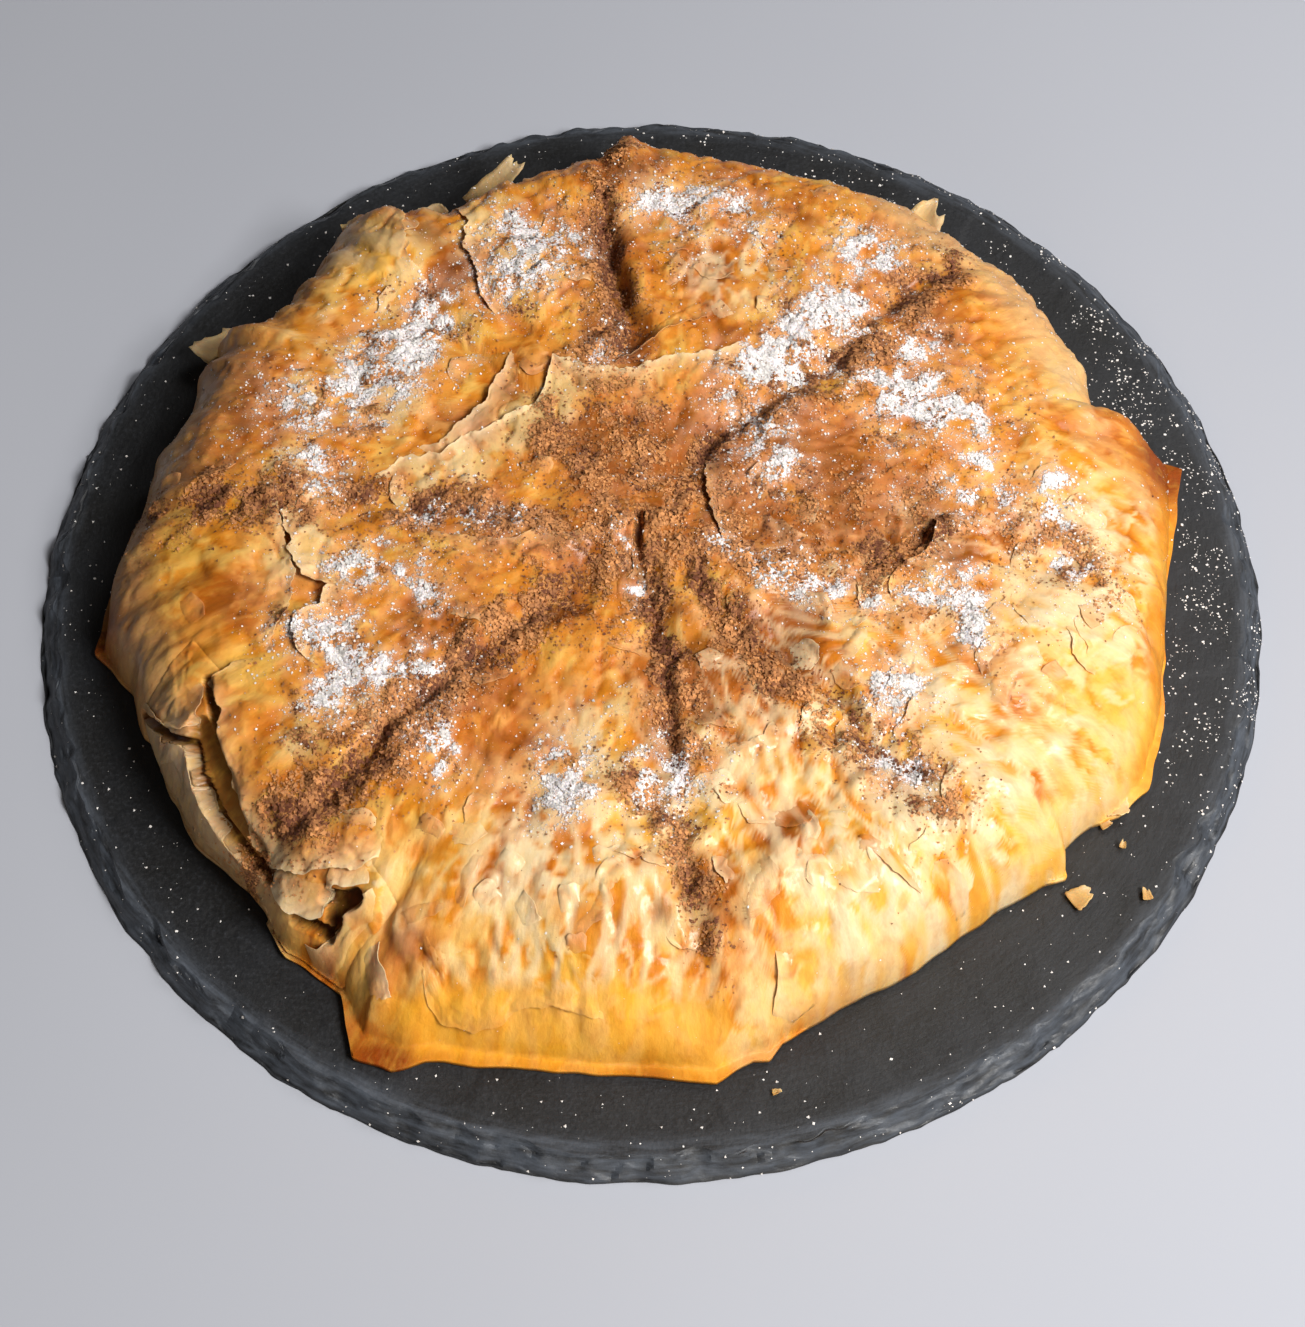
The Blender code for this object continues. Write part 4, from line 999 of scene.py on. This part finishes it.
def flake_layers(place, degrees, reach, width, rise, bow, colour, seed):
    """A thin pointed flake that runs from `place` in the given direction."""
    rows, columns = FLAKE_ROWS, FLAKE_COLUMNS
    turn = math.radians(degrees)
    across, along = np.meshgrid(np.linspace(-1, 1, rows), np.linspace(0, 1, columns), indexing="ij")
    rng = np.random.default_rng(seed)
    edge = np.interp(np.linspace(0, 1, rows), (0, 0.3, 0.6, 1), rng.uniform(0.6, 1.1, 4))
    ragged = along * reach * (edge[:, None] + 0.06 * rng.uniform(-1, 1, rows)[:, None])
    side = across * width / 2 * (1 - 0.45 * along ** 1.5)
    side = side * (1 + 0.1 * rng.uniform(-1, 1, columns)[None, :])
    x = place[0] + ragged * math.cos(turn) - side * math.sin(turn)
    y = place[1] + ragged * math.sin(turn) + side * math.cos(turn)
    z = place[2] + rise * along + bow * across ** 2 + 0.5 * bow * along ** 2
    z = z + 0.35 * facet_noise(x, y, 3.0, seed)
    top = np.stack((x, y, z), axis=-1)
    tint = mix(colour + 0 * x[..., None], CREAM, 0.5 * along ** 3)
    return [top, top - np.array((0, 0, SHEET_THICKNESS)), x, y, tint]


def far_tips():
    # painted shade: each tip's colour is darkened by its shade
    shapes = [flake_layers((x, y, z), *form, TIP_BOW, shade * TIP_COLOUR, 700 + number)
              for number, (x, y, z, *form, shade) in enumerate(FAR_TIPS)]
    return sheet_piece("torn_tips", shapes)


def loose_flakes():
    shapes = [flake_layers((x, y, SLATE_THICKNESS + FLAKE_HEIGHT), *form, FLAKE_RISE, FLAKE_BOW,
                           CRUMB, 720 + number)
              for number, (x, y, *form) in enumerate(LOOSE_FLAKES)]
    return sheet_piece("loose_flakes", shapes)


SMALL_FLAKES = 130
SMALL_FLAKES_FROM = 20.0    # from the pie's middle
SMALL_FLAKES_TO = 128.0
SMALL_FLAKE_LENGTHS = (6, 17)
SMALL_FLAKE_SHEETS = (      # smallest and largest depth, lift, curl and paleness
    (5, 9), (0.05, 0.45), (0.0, 0.3), (0.1, 0.6),
)


def small_flakes():
    """Short torn edges all over the pie, most of them in the crumpled part."""
    rng = np.random.default_rng(400)
    sheets = []
    while len(sheets) < SMALL_FLAKES:
        x, y = rng.uniform(-SMALL_FLAKES_TO, SMALL_FLAKES_TO, 2)
        x, y = x + PIE_CENTRE[0], y + PIE_CENTRE[1]
        wet = float(buttered(np.array(x), np.array(y)))
        wanted = 0.08 + 0.92 * wet
        _, radius, _, _ = side_place(np.array(x), np.array(y))
        if not SMALL_FLAKES_FROM <= radius <= SMALL_FLAKES_TO or rng.uniform() > wanted:
            continue
        length, toward = rng.uniform(*SMALL_FLAKE_LENGTHS), rng.uniform(0, 360)
        turn = math.radians(toward + 90)
        steps = np.linspace(-0.5, 0.5, 5)
        bow = rng.uniform(0.0, 0.35) * length * (4 * steps ** 2)
        wander = rng.uniform(-0.08, 0.08, len(steps)) * length + bow
        along = length * steps
        edge = np.column_stack((x + along * math.cos(turn) + wander * math.sin(turn),
                                y + along * math.sin(turn) - wander * math.cos(turn)))
        form = [rng.uniform(low, high) for low, high in SMALL_FLAKE_SHEETS]
        seed = 410 + 10 * len(sheets)
        sheets.append(sheet_layers(seed, edge, toward, *form, FLAKE_COLUMNS,
                                   rng.uniform(-0.4, 0.6 * wet)))
    return sheet_piece("small_flakes", sheets)


# ==== slate ====
SLATE_TURNS = 1100
FACE_RINGS = 44
FACE_CROWDING = 0.6         # power by which they crowd toward the edge
EDGE_RINGS = 26
CHIP_LENGTH = 9.0           # along the rim
CHIP_WIDTH = 2.6
NARROWEST_BEVEL = 1.5
BEVEL_DROP = 0.3            # from the face to the bevel's top
BEVEL_BULGE = 1.2           # power by which the bevel falls
SLATE_SHARP = 18.0          # degrees between faces from which an edge is sharp
CHIPPED_WIDTH = 9.0         # of the paler chipped band


def slate_reach(cos, sin):
    """(reach of the board's foot, width of its bevel) in each direction."""
    turn = np.arctan2(sin, cos)
    reach = SLATE_RADIUS + SLATE_OVAL * np.cos(2 * (turn - math.radians(SLATE_LONG_TURN)))
    reach = reach + SLATE_FRONT_LONG * smooth_step(np.cos(turn - math.radians(SLATE_FRONT_TURN)))
    x, y = cos * SLATE_RADIUS, sin * SLATE_RADIUS
    foot = reach + SLATE_CHIP * lattice_noise(x, y, SLATE_CHIP_LENGTH, 2)
    foot = foot + 0.45 * facet_noise(x, y, 4.5, 141)
    width = BEVEL_WIDTH + BEVEL_VARIES * lattice_noise(x, y, BEVEL_LENGTH, 3)
    width = width + 1.3 * facet_noise(x, y, 6.0, 145)
    return foot, np.clip(width, NARROWEST_BEVEL, None)


def chipped(height, x, y):
    """The bevel's height with long chips along the rim."""
    radius, turn = np.hypot(x, y), np.arctan2(y, x) * SLATE_RADIUS
    wander = 2.0 * lattice_noise(x, y, 12.0, 159)
    u, v = turn / CHIP_LENGTH, (radius + wander) / CHIP_WIDTH
    chips = facet_noise(u, v, 1.0, 160) + 0.5 * facet_noise(2.1 * u, 1.9 * v, 1.0, 164)
    rough = 0.4 * facet_noise(x, y, 2.4, 168)
    return np.clip(height + chips + rough, 0.0, SLATE_THICKNESS - 0.2)


def make_slate():
    """The board as one closed mesh: its split face, the chipped bevel and a flat underside."""
    turns = np.arange(SLATE_TURNS) * 2 * math.pi / SLATE_TURNS
    cos, sin = np.cos(turns), np.sin(turns)
    foot, width = slate_reach(cos, sin)
    rings = []
    for share in np.linspace(0, 1, FACE_RINGS)[1:] ** FACE_CROWDING:
        x, y = share * (foot - width) * cos, share * (foot - width) * sin
        rings.append(np.column_stack((x, y, SLATE_THICKNESS - slate_dip(x, y))))
    for step in range(1, EDGE_RINGS + 1):
        share = step / EDGE_RINGS
        radius = foot - width * (1 - share)
        x, y = radius * cos, radius * sin
        height = (SLATE_THICKNESS - BEVEL_DROP) * (1 - share ** BEVEL_BULGE)
        broken = chipped(height, x, y)
        blend = smooth_step(share * 5) * smooth_step((1 - share) * 8)
        rings.append(np.column_stack((x, y, height + (broken - height) * blend)))
    rings[-1][:, 2] = 0.0
    points = np.concatenate([[[0.0, 0.0, SLATE_THICKNESS]]] + rings + [[[0.0, 0.0, 0.0]]])
    here = np.arange(SLATE_TURNS)
    after = (here + 1) % SLATE_TURNS
    quads = []
    for ring in range(len(rings) - 1):
        a, b = 1 + ring * SLATE_TURNS, 1 + (ring + 1) * SLATE_TURNS
        quads.append(np.column_stack((a + here, b + here, b + after, a + after)))
    quads = np.concatenate(quads)
    outer = 1 + (len(rings) - 1) * SLATE_TURNS
    middle = np.column_stack((0 * here, 1 + here, 1 + after))
    under = np.column_stack((0 * here + len(points) - 1, outer + after, outer + here))
    triangles = np.concatenate((quads[:, [0, 1, 2]], quads[:, [0, 2, 3]], middle, under))
    piece = new_piece("slate_board", points, triangles)
    piece.data.set_sharp_from_angle(angle=math.radians(SLATE_SHARP))
    radius = np.hypot(points[:, 0], points[:, 1])
    edge = smooth_step((radius - SLATE_RADIUS + CHIPPED_WIDTH) / 5) * smooth_step(points[:, 2])
    add_colours(piece, "chip", np.column_stack((edge, edge, edge)))
    return piece


def slate_dip(x, y):
    """How far the split face lies under the board's highest points."""
    steps = smooth_step(layered_noise(x, y, 34.0, 152, 5) / 0.05)
    waves = 0.1 + 0.1 * (1 + layered_noise(x, y, 40.0, 150))
    return waves + 0.12 * steps + 0.05 * (1 + facet_noise(x, y, 7.0, 155))


# ==== grains ====
def triangles_of(pieces):
    """Corners of all triangles of the pieces, in mm."""
    corners = []
    for piece in pieces:
        mesh = piece.data
        mesh.calc_loop_triangles()
        co = np.empty(len(mesh.vertices) * 3, np.float32)
        mesh.vertices.foreach_get("co", co)
        index = np.empty(len(mesh.loop_triangles) * 3, np.int32)
        mesh.loop_triangles.foreach_get("vertices", index)
        corners.append((co.reshape(-1, 3) / MM)[index].reshape(-1, 3, 3))
    return np.concatenate(corners)


def scatter(corners, density, count, seed):
    """`count` points on the upward triangles, and their normals, spread by area times density."""
    rng = np.random.default_rng(seed)
    cross = np.cross(corners[:, 1] - corners[:, 0], corners[:, 2] - corners[:, 0])
    area = np.linalg.norm(cross, axis=1) / 2 + 1e-9
    middle = corners.mean(axis=1)
    weight = area * density(middle) * (cross[:, 2] / area > 0.3)
    chosen = rng.choice(len(corners), count, p=weight / weight.sum())
    a, b = rng.uniform(size=(2, count))
    over = a + b > 1
    a, b = np.where(over, 1 - a, a), np.where(over, 1 - b, b)
    picked = corners[chosen]
    first, second = picked[:, 1] - picked[:, 0], picked[:, 2] - picked[:, 0]
    places = picked[:, 0] + a[:, None] * first + b[:, None] * second
    return places, cross[chosen] / (2 * area[chosen])[:, None]


TETRA = np.array([(1, 1, 1), (1, -1, -1), (-1, 1, -1), (-1, -1, 1)]) / math.sqrt(3)
TETRA_FACES = np.array([(0, 1, 2), (0, 3, 1), (0, 2, 3), (1, 3, 2)])
OCTA = np.array([(1, 0, 0), (-1, 0, 0), (0, 1, 0), (0, -1, 0), (0, 0, 1), (0, 0, -1)], float)
OCTA_FACES = np.array([(0, 2, 4), (2, 1, 4), (1, 3, 4), (3, 0, 4),
                       (2, 0, 5), (1, 2, 5), (3, 1, 5), (0, 3, 5)])
SUGAR_KINDS = (             # (piece, shape, faces, count, sizes, power, count on the slate, seeds)
    ("sugar_grains", TETRA, TETRA_FACES, 45000, 0.25, 0.7, 1.15, 1600, 301, 321),
    ("sugar_lumps", OCTA, OCTA_FACES, 15000, 0.5, 1.4, 1.0, 520, 311, 325),
)
SLATE_SUGAR_SIZES = (0.3, 1.05)
CINNAMON_COUNT = 49500
CINNAMON_SIZES = (0.45, 1.6)
CINNAMON_HEAP = 0.35        # height over which the grains lie where they are thick
FLATTENED = 0.5             # how far each grain is pressed onto the surface
GRAIN_SEAT = 0.22           # height of a grain's middle, as a share of its size


def grains(name, places, normals, sizes, shape, shape_faces, seed):
    """One joined mesh of small grains, each turned and stretched at random."""
    rng = np.random.default_rng(seed)
    count = len(places)
    turn = rng.normal(size=(count, 4))
    turn /= np.linalg.norm(turn, axis=1)[:, None]
    w, i, j, k = turn.T
    matrix = np.stack((
        np.stack((1 - 2 * (j * j + k * k), 2 * (i * j - k * w), 2 * (i * k + j * w)), -1),
        np.stack((2 * (i * j + k * w), 1 - 2 * (i * i + k * k), 2 * (j * k - i * w)), -1),
        np.stack((2 * (i * k - j * w), 2 * (j * k + i * w), 1 - 2 * (i * i + j * j)), -1)), 1)
    stretch = rng.uniform(0.7, 1.25, (count, 1, 3))
    local = np.einsum("nij,vj->nvi", matrix, shape) * stretch * (sizes / 2)[:, None, None]
    tall = np.einsum("nvi,ni->nv", local, normals)
    local = local - FLATTENED * tall[..., None] * normals[:, None, :]
    centre = places + normals * (GRAIN_SEAT * sizes)[:, None]
    points = (local + centre[:, None, :]).reshape(-1, 3)
    faces = (shape_faces[None] + np.arange(count)[:, None, None] * len(shape)).reshape(-1, 3)
    piece = new_piece(name, points, faces)
    piece.data.normals_split_custom_set_from_vertices(np.repeat(normals, len(shape), axis=0))
    return piece


def sugar_on_pie(corners, count, smallest, largest, power, seed):
    """(places, normals, sizes), `power` keeping the grains to where the sugar lies thick."""
    def density(middle):
        x, y = middle[:, 0], middle[:, 1]
        clumps = 0.25 + smooth_step(0.5 + 1.6 * lattice_noise(x, y, 3.2, 305))
        return clumps * sugar_density(x, y) ** power + 0.001

    rng = np.random.default_rng(seed)
    places, normals = scatter(corners, density, count, seed + 1)
    thick = sugar_density(places[:, 0], places[:, 1])
    heap = rng.uniform(-0.2, 0.1, count) * thick
    sizes = smallest + (largest - smallest) * rng.uniform(0, 1, count) ** 2
    return places + normals * heap[:, None], normals, sizes * (0.65 + 0.5 * thick)


def sugar_on_slate(corners, count, seed):
    """The same for sugar that fell on the slate, most of it along the right."""
    def density(middle):
        x, y = middle[:, 0], middle[:, 1]
        _, radius, outline, _ = side_place(x, y)
        right = smooth_step((x - 100) / 40) * smooth_step((y + 80) / 40)
        clumps = smooth_step(0.4 + 1.2 * layered_noise(x, y, 14.0, 330))
        back = 0.35 * smooth_step((y - 60) / 50) * smooth_step((x + 20) / 40)
        return (radius > outline + 1) * (0.06 + (right + back) * clumps)

    places, normals = scatter(corners, density, count, seed)
    small, large = SLATE_SUGAR_SIZES
    sizes = small + (large - small) * np.random.default_rng(seed + 1).uniform(0, 1, count) ** 2.5
    return places, normals, sizes


def make_sugars(corners, slate_corners):
    pieces = []
    for name, shape, faces, count, *form, on_slate, seed, slate_seed in SUGAR_KINDS:
        parts = (sugar_on_pie(corners, count, *form, seed),
                 sugar_on_slate(slate_corners, on_slate, slate_seed))
        joined = [np.concatenate(values) for values in zip(*parts)]
        pieces.append(grains(name, *joined, shape, faces, seed + 2))
    return pieces


def make_cinnamon(corners):
    def density(middle):
        return cinnamon_density(middle[:, 0], middle[:, 1]) ** 1.2 + 0.0003

    places, normals = scatter(corners, density, CINNAMON_COUNT, 341)
    rng = np.random.default_rng(342)
    thick = cinnamon_density(places[:, 0], places[:, 1])
    places = places + normals * (rng.uniform(0, CINNAMON_HEAP, len(places)) * thick)[:, None]
    small, large = CINNAMON_SIZES
    sizes = small + (large - small) * rng.uniform(0, 1, len(places)) ** 1.6
    sizes = sizes * (0.65 + 0.5 * thick)
    piece = grains("cinnamon_grains", places, normals, sizes, TETRA, TETRA_FACES, 343)
    # the grains' tone, with painted shade in the furrows and hollows
    dark = 0.1 + 0.85 * cinnamon_tone_and_shade(places[:, 0], places[:, 1])
    shade = np.clip(rng.normal(dark, 0.25), 0, 1)
    add_colours(piece, "shade", np.repeat(np.column_stack((shade, shade, shade)), 4, axis=0))
    return piece


# ==== materials ====
class Nodes:
    """Short names for adding nodes to one material."""

    def __init__(self, name):
        self.material = bpy.data.materials.new(name)
        self.material.use_nodes = True
        self.tree = self.material.node_tree
        self.shader = self.tree.nodes["Principled BSDF"]

    def add(self, kind, **settings):
        node = self.tree.nodes.new(kind)
        for key, value in settings.items():
            setattr(node, key, value)
        return node

    def link(self, source, target):
        self.tree.links.new(source, target)

    def attribute(self, name):
        return self.add("ShaderNodeAttribute", attribute_name=name)

    def place(self):
        return self.add("ShaderNodeTexCoord").outputs["Object"]

    def noise(self, scale, detail=3.0, rough=0.55, place=None):
        """Noise of `scale` bumps a metre, or a unit of the given place."""
        node = self.add("ShaderNodeTexNoise")
        node.inputs["Scale"].default_value = scale
        node.inputs["Detail"].default_value = detail
        node.inputs["Roughness"].default_value = rough
        self.link(place or self.place(), node.inputs["Vector"])
        return node.outputs["Fac"]

    def around(self, across_mm, along_mm):
        """(place stepping by `across_mm` around the pie's middle and `along_mm` out, radius)."""
        parts = self.add("ShaderNodeSeparateXYZ")
        self.link(self.place(), parts.inputs[0])
        x = self.math("SUBTRACT", parts.outputs[0], PIE_CENTRE[0] * MM)
        y = self.math("SUBTRACT", parts.outputs[1], PIE_CENTRE[1] * MM)
        radius = self.math("SQRT", self.plus(self.times(x, x), self.times(y, y)))
        steps = self.times(radius, 1 / (along_mm * MM))
        turn = self.times(self.math("ARCTAN2", y, x), STREAK_RADIUS / across_mm)
        height = self.times(parts.outputs[2], 1 / (along_mm * MM))
        node = self.add("ShaderNodeCombineXYZ")
        for socket, value in zip(node.inputs, (steps, turn, height)):
            self.link(value, socket)
        return node.outputs[0], radius

    def mixed(self, amount, first, second):
        node = self.add("ShaderNodeMix", data_type="FLOAT")
        for socket, value in ((0, amount), (2, first), (3, second)):
            self.link(value, node.inputs[socket])
        return node.outputs[0]

    def math(self, operation, first, second=None, clamp=False):
        node = self.add("ShaderNodeMath", operation=operation, use_clamp=clamp)
        for socket, value in zip(node.inputs, (first, second)):
            if value is None:
                continue
            if isinstance(value, (int, float)):
                socket.default_value = value
            else:
                self.link(value, socket)
        return node.outputs[0]

    def plus(self, first, second, clamp=False):
        return self.math("ADD", first, second, clamp)

    def times(self, first, second):
        return self.math("MULTIPLY", first, second)

    def span(self, value, low, high, to_low=0.0, to_high=1.0):
        """The value, with low to high turned into to_low to to_high, and no further."""
        node = self.add("ShaderNodeMapRange")
        self.link(value, node.inputs["Value"])
        for socket, number in enumerate((low, high, to_low, to_high), 1):
            node.inputs[socket].default_value = number
        return node.outputs["Result"]

    def covered(self, grain, density, soft):
        """How far powder of the given density covers a spot, one grain noise deciding where."""
        level = self.plus(grain, self.times(density, 0.5))
        return self.span(level, COVERED_FROM, COVERED_FROM + soft)

    def blend(self, amount, first, second):
        node = self.add("ShaderNodeMix", data_type="RGBA")
        self.link(amount, node.inputs["Factor"])
        for socket, value in ((node.inputs[6], first), (node.inputs[7], second)):
            if isinstance(value, (tuple, list, np.ndarray)):
                socket.default_value = (*[float(v) for v in value[:3]], 1.0)
            else:
                self.link(value, socket)
        return node.outputs[2]

    def bump(self, height, strength, distance_mm):
        node = self.add("ShaderNodeBump")
        node.inputs["Strength"].default_value = strength
        node.inputs["Distance"].default_value = distance_mm * MM
        self.link(height, node.inputs["Height"])
        self.feed(Normal=node.outputs["Normal"])

    def feed(self, **sources):
        """Links what varies over the surface to the shader's sockets of these names."""
        for name, source in sources.items():
            self.link(source, self.shader.inputs[name.replace("_", " ")])

    def keep(self, **values):
        """Sets what is the same all over on the shader's own sockets."""
        for name, value in values.items():
            self.shader.inputs[name.replace("_", " ")].default_value = value


SUGAR_WHITE = srgb(252, 248, 252)
SUGAR_GRAIN = srgb(248, 236, 229)
SUGAR_VEIL = srgb(230, 186, 156)
CINNAMON_LIGHT = srgb(206, 142, 86)
CINNAMON_DARK = srgb(104, 56, 32)
FLOOR_COLOURS = srgb(166, 170, 180), srgb(173, 177, 187)
SLATE_COLOURS = srgb(7, 8, 10), srgb(22, 25, 30)
SLATE_GRAIN = srgb(50, 55, 64)
SLATE_CHIPS = srgb(92, 100, 112)

COVERED_FROM = 0.74         # grain noise and half the density from which powder covers a spot
FINE_SCALE = 1100.0         # bumps a metre
GRAIN_SCALE = 750.0
CLOUD_SCALE = 240.0
STREAK_RADIUS = 100.0       # where the streaks have their full width
STREAK_ACROSS = 2.2         # mm around the pie in one streak
STREAK_ALONG = 7.0          # mm from the middle outward in one streak
STREAK_FROM, STREAK_FULL = 0.085, 0.115         # metres from the middle
STREAK_TINTS = (            # (colour, noise where it starts, where it is full, strength)
    (AMBER, 0.45, 0.75, 0.36), (YELLOW, 0.5, 0.3, 0.28),
)
FLAKY_ACROSS = 9.0          # the same two for the slate's broken edge
FLAKY_ALONG = 2.2


def filo_material():
    n = Nodes("filo")
    dust = n.add("ShaderNodeSeparateColor")
    n.link(n.attribute("dust").outputs["Color"], dust.inputs["Color"])
    sugar, cinnamon, butter = dust.outputs[0], dust.outputs[1], dust.outputs[2]
    fine, grain = n.noise(FINE_SCALE, 2.0, 0.6), n.noise(GRAIN_SCALE, 3.0, 0.7)
    cloud = n.noise(CLOUD_SCALE, 3.0, 0.55)
    around, radius = n.around(STREAK_ACROSS, STREAK_ALONG)
    outer = n.span(radius, STREAK_FROM, STREAK_FULL)
    streak = n.mixed(outer, cloud, n.noise(1.0, 3.0, 0.6, around))
    mottled = n.span(radius, STREAK_FROM, STREAK_FULL, 0.35, 1.0)
    base = n.attribute("tint").outputs["Color"]
    for colour, start, full, strength in STREAK_TINTS:
        amount = n.times(mottled, n.span(streak, start, full, 0.0, strength))
        base = n.blend(amount, base, colour)
    speckle = n.plus(n.times(grain, 0.6), n.times(cloud, 0.4))
    spiced = n.covered(speckle, cinnamon, 0.07)
    spice = n.blend(n.span(grain, 0.38, 0.58), CINNAMON_DARK, CINNAMON_LIGHT)
    base = n.blend(n.times(spiced, 0.85), base, spice)
    base = n.blend(n.span(sugar, 0.08, 0.75, 0.0, 0.6), base, SUGAR_VEIL)
    white = n.covered(fine, n.math("SUBTRACT", n.times(sugar, 1.42), 0.24), 0.18)
    base = n.blend(n.times(white, 0.9), base, SUGAR_WHITE)
    dry = n.math("MAXIMUM", white, spiced)
    rough = n.plus(n.span(butter, 0.0, 1.0, 0.5, 0.34), n.span(cloud, 0.3, 0.7, -0.06, 0.06))
    rough = n.plus(rough, n.times(dry, 0.45), clamp=True)
    coat = n.times(n.span(dry, 0.0, 0.6, 0.22, 0.0), butter)
    n.feed(Base_Color=base, Roughness=rough, Coat_Weight=coat)
    n.keep(Coat_Roughness=0.18, Specular_IOR_Level=0.14)
    n.shader.subsurface_method = "BURLEY"
    n.keep(Subsurface_Weight=0.25, Subsurface_Radius=(1.0, 0.4, 0.12), Subsurface_Scale=0.0012)
    waxy = n.plus(n.times(cloud, 0.16), n.times(streak, 0.35))
    waxy = n.plus(waxy, n.times(fine, 0.06))
    n.bump(n.plus(waxy, n.times(dry, grain)), 1.0, 1.0)
    return n.material


def sugar_material():
    n = Nodes("icing_sugar")
    n.keep(Base_Color=(*SUGAR_GRAIN, 1.0), Roughness=0.8)
    n.keep(Subsurface_Weight=0.7, Subsurface_Radius=(1.0, 0.9, 0.85), Subsurface_Scale=0.0008)
    return n.material


def cinnamon_material():
    n = Nodes("cinnamon")
    shade = n.attribute("shade").outputs["Fac"]
    n.feed(Base_Color=n.blend(shade, CINNAMON_LIGHT, CINNAMON_DARK))
    n.keep(Roughness=0.85)
    return n.material


def slate_material():
    n = Nodes("slate_stone")
    cloud, grain = n.noise(60.0, 6.0, 0.6), n.noise(900.0, 3.0, 0.6)
    base = n.blend(n.span(cloud, 0.35, 0.7), *SLATE_COLOURS)
    base = n.blend(n.span(grain, 0.55, 0.75, 0.0, 0.35), base, SLATE_GRAIN)
    chip = n.attribute("chip").outputs["Fac"]
    flaky = n.noise(1.0, 5.0, 0.65, n.around(FLAKY_ACROSS, FLAKY_ALONG)[0])
    base = n.blend(n.times(chip, n.span(flaky, 0.35, 0.75, 0.0, 0.7)), base, SLATE_CHIPS)
    n.feed(Base_Color=base, Roughness=n.span(grain, 0.3, 0.7, 0.48, 0.66))
    n.keep(Specular_IOR_Level=0.6)
    height = n.plus(n.times(flaky, 0.5), n.times(grain, 0.35))
    n.bump(n.plus(n.times(cloud, 1.5), height), 0.6, 0.4)
    return n.material


def floor_material():
    n = Nodes("floor")
    n.feed(Base_Color=n.blend(n.noise(4.0, 2.0), *FLOOR_COLOURS))
    n.keep(Roughness=0.8)
    return n.material


# ==== room ====
VIEW_TARGET = (0.0006, -0.0203, 0.0)            # metres
VIEW_DISTANCE = 0.80                            # metres
VIEW_ELEVATION = 59.76                          # degrees
VIEW_LENS = 80.9
LIGHTS = (                  # (name, place and size in metres, watts, colour)
    ("key", (0.68, -0.44, 0.97), (0.42, 0.42), 21.5, (1.0, 0.97, 0.93)),
    ("back", (0.64, 0.54, 1.0), (0.6, 0.45), 4.2, (1.0, 0.97, 0.95)),
    ("front", (0.18, -1.05, 0.28), (0.5, 0.3), 2.9, (1.0, 0.91, 0.8)),
)
SKY_COLOUR = (1.0, 0.92, 0.84, 1.0)
SKY_STRENGTH = 0.045
FLOOR_HALF = 3000.0
FLOOR_DROP = 0.2            # below the slate's underside


def make_camera():
    tilt = math.radians(VIEW_ELEVATION)
    back = Vector((0, -math.cos(tilt), math.sin(tilt)))
    data = bpy.data.cameras.new("camera")
    data.lens = VIEW_LENS
    data.sensor_width = 36.0
    data.clip_start = 0.01
    camera = bpy.data.objects.new("camera", data)
    camera.location = Vector(VIEW_TARGET) + back * VIEW_DISTANCE
    camera.rotation_euler = back.to_track_quat("Z", "Y").to_euler()
    bpy.context.scene.collection.objects.link(camera)
    bpy.context.scene.camera = camera


def area_light(name, place, size, watts, colour):
    data = bpy.data.lights.new(name, "AREA")
    data.shape = "RECTANGLE"
    data.size, data.size_y = size
    data.energy = watts
    data.color = colour
    light = bpy.data.objects.new(name, data)
    light.location = place
    light.rotation_euler = Vector(place).to_track_quat("Z", "Y").to_euler()
    bpy.context.scene.collection.objects.link(light)


def make_room():
    for light in LIGHTS:
        area_light(*light)
    world = bpy.data.worlds.new("world")
    world.use_nodes = True
    background = world.node_tree.nodes["Background"]
    background.inputs["Color"].default_value = SKY_COLOUR
    background.inputs["Strength"].default_value = SKY_STRENGTH
    bpy.context.scene.world = world
    corners = np.array([(-1, -1), (1, -1), (1, 1), (-1, 1)]) * FLOOR_HALF
    points = np.column_stack((corners, np.full(4, -FLOOR_DROP)))
    floor = new_piece("floor", points, np.array([[0, 1, 2, 3]]), smooth=False)
    floor.data.materials.append(floor_material())
    bpy.context.scene.view_settings.view_transform = "Standard"


# ==== assembly ====
def dress(piece, material):
    piece.data.materials.append(material)
    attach(piece, "root")


make_camera()
make_room()
filo = filo_material()
skin_piece = make_skin()
dress(skin_piece, filo)
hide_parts("pastry")
sheets = [sheet_piece(name, [sheet_layers(200 + 10 * number, *shape)])
          for number, (name, *shape) in enumerate(TORN_SHEETS)]
sheets += [sheet_piece(name, [patch_layers(*form)]) for name, *form in FINE_PATCHES]
sheets += [small_flakes(), far_tips(), loose_flakes()]
for sheet in sheets:
    dress(sheet, filo)
slate = make_slate()
dress(slate, slate_material())
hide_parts("slate")
top_faces = triangles_of([skin_piece, *sheets])
sugar = sugar_material()
for sugar_piece in make_sugars(top_faces, triangles_of([slate])):
    dress(sugar_piece, sugar)
dress(make_cinnamon(top_faces), cinnamon_material())
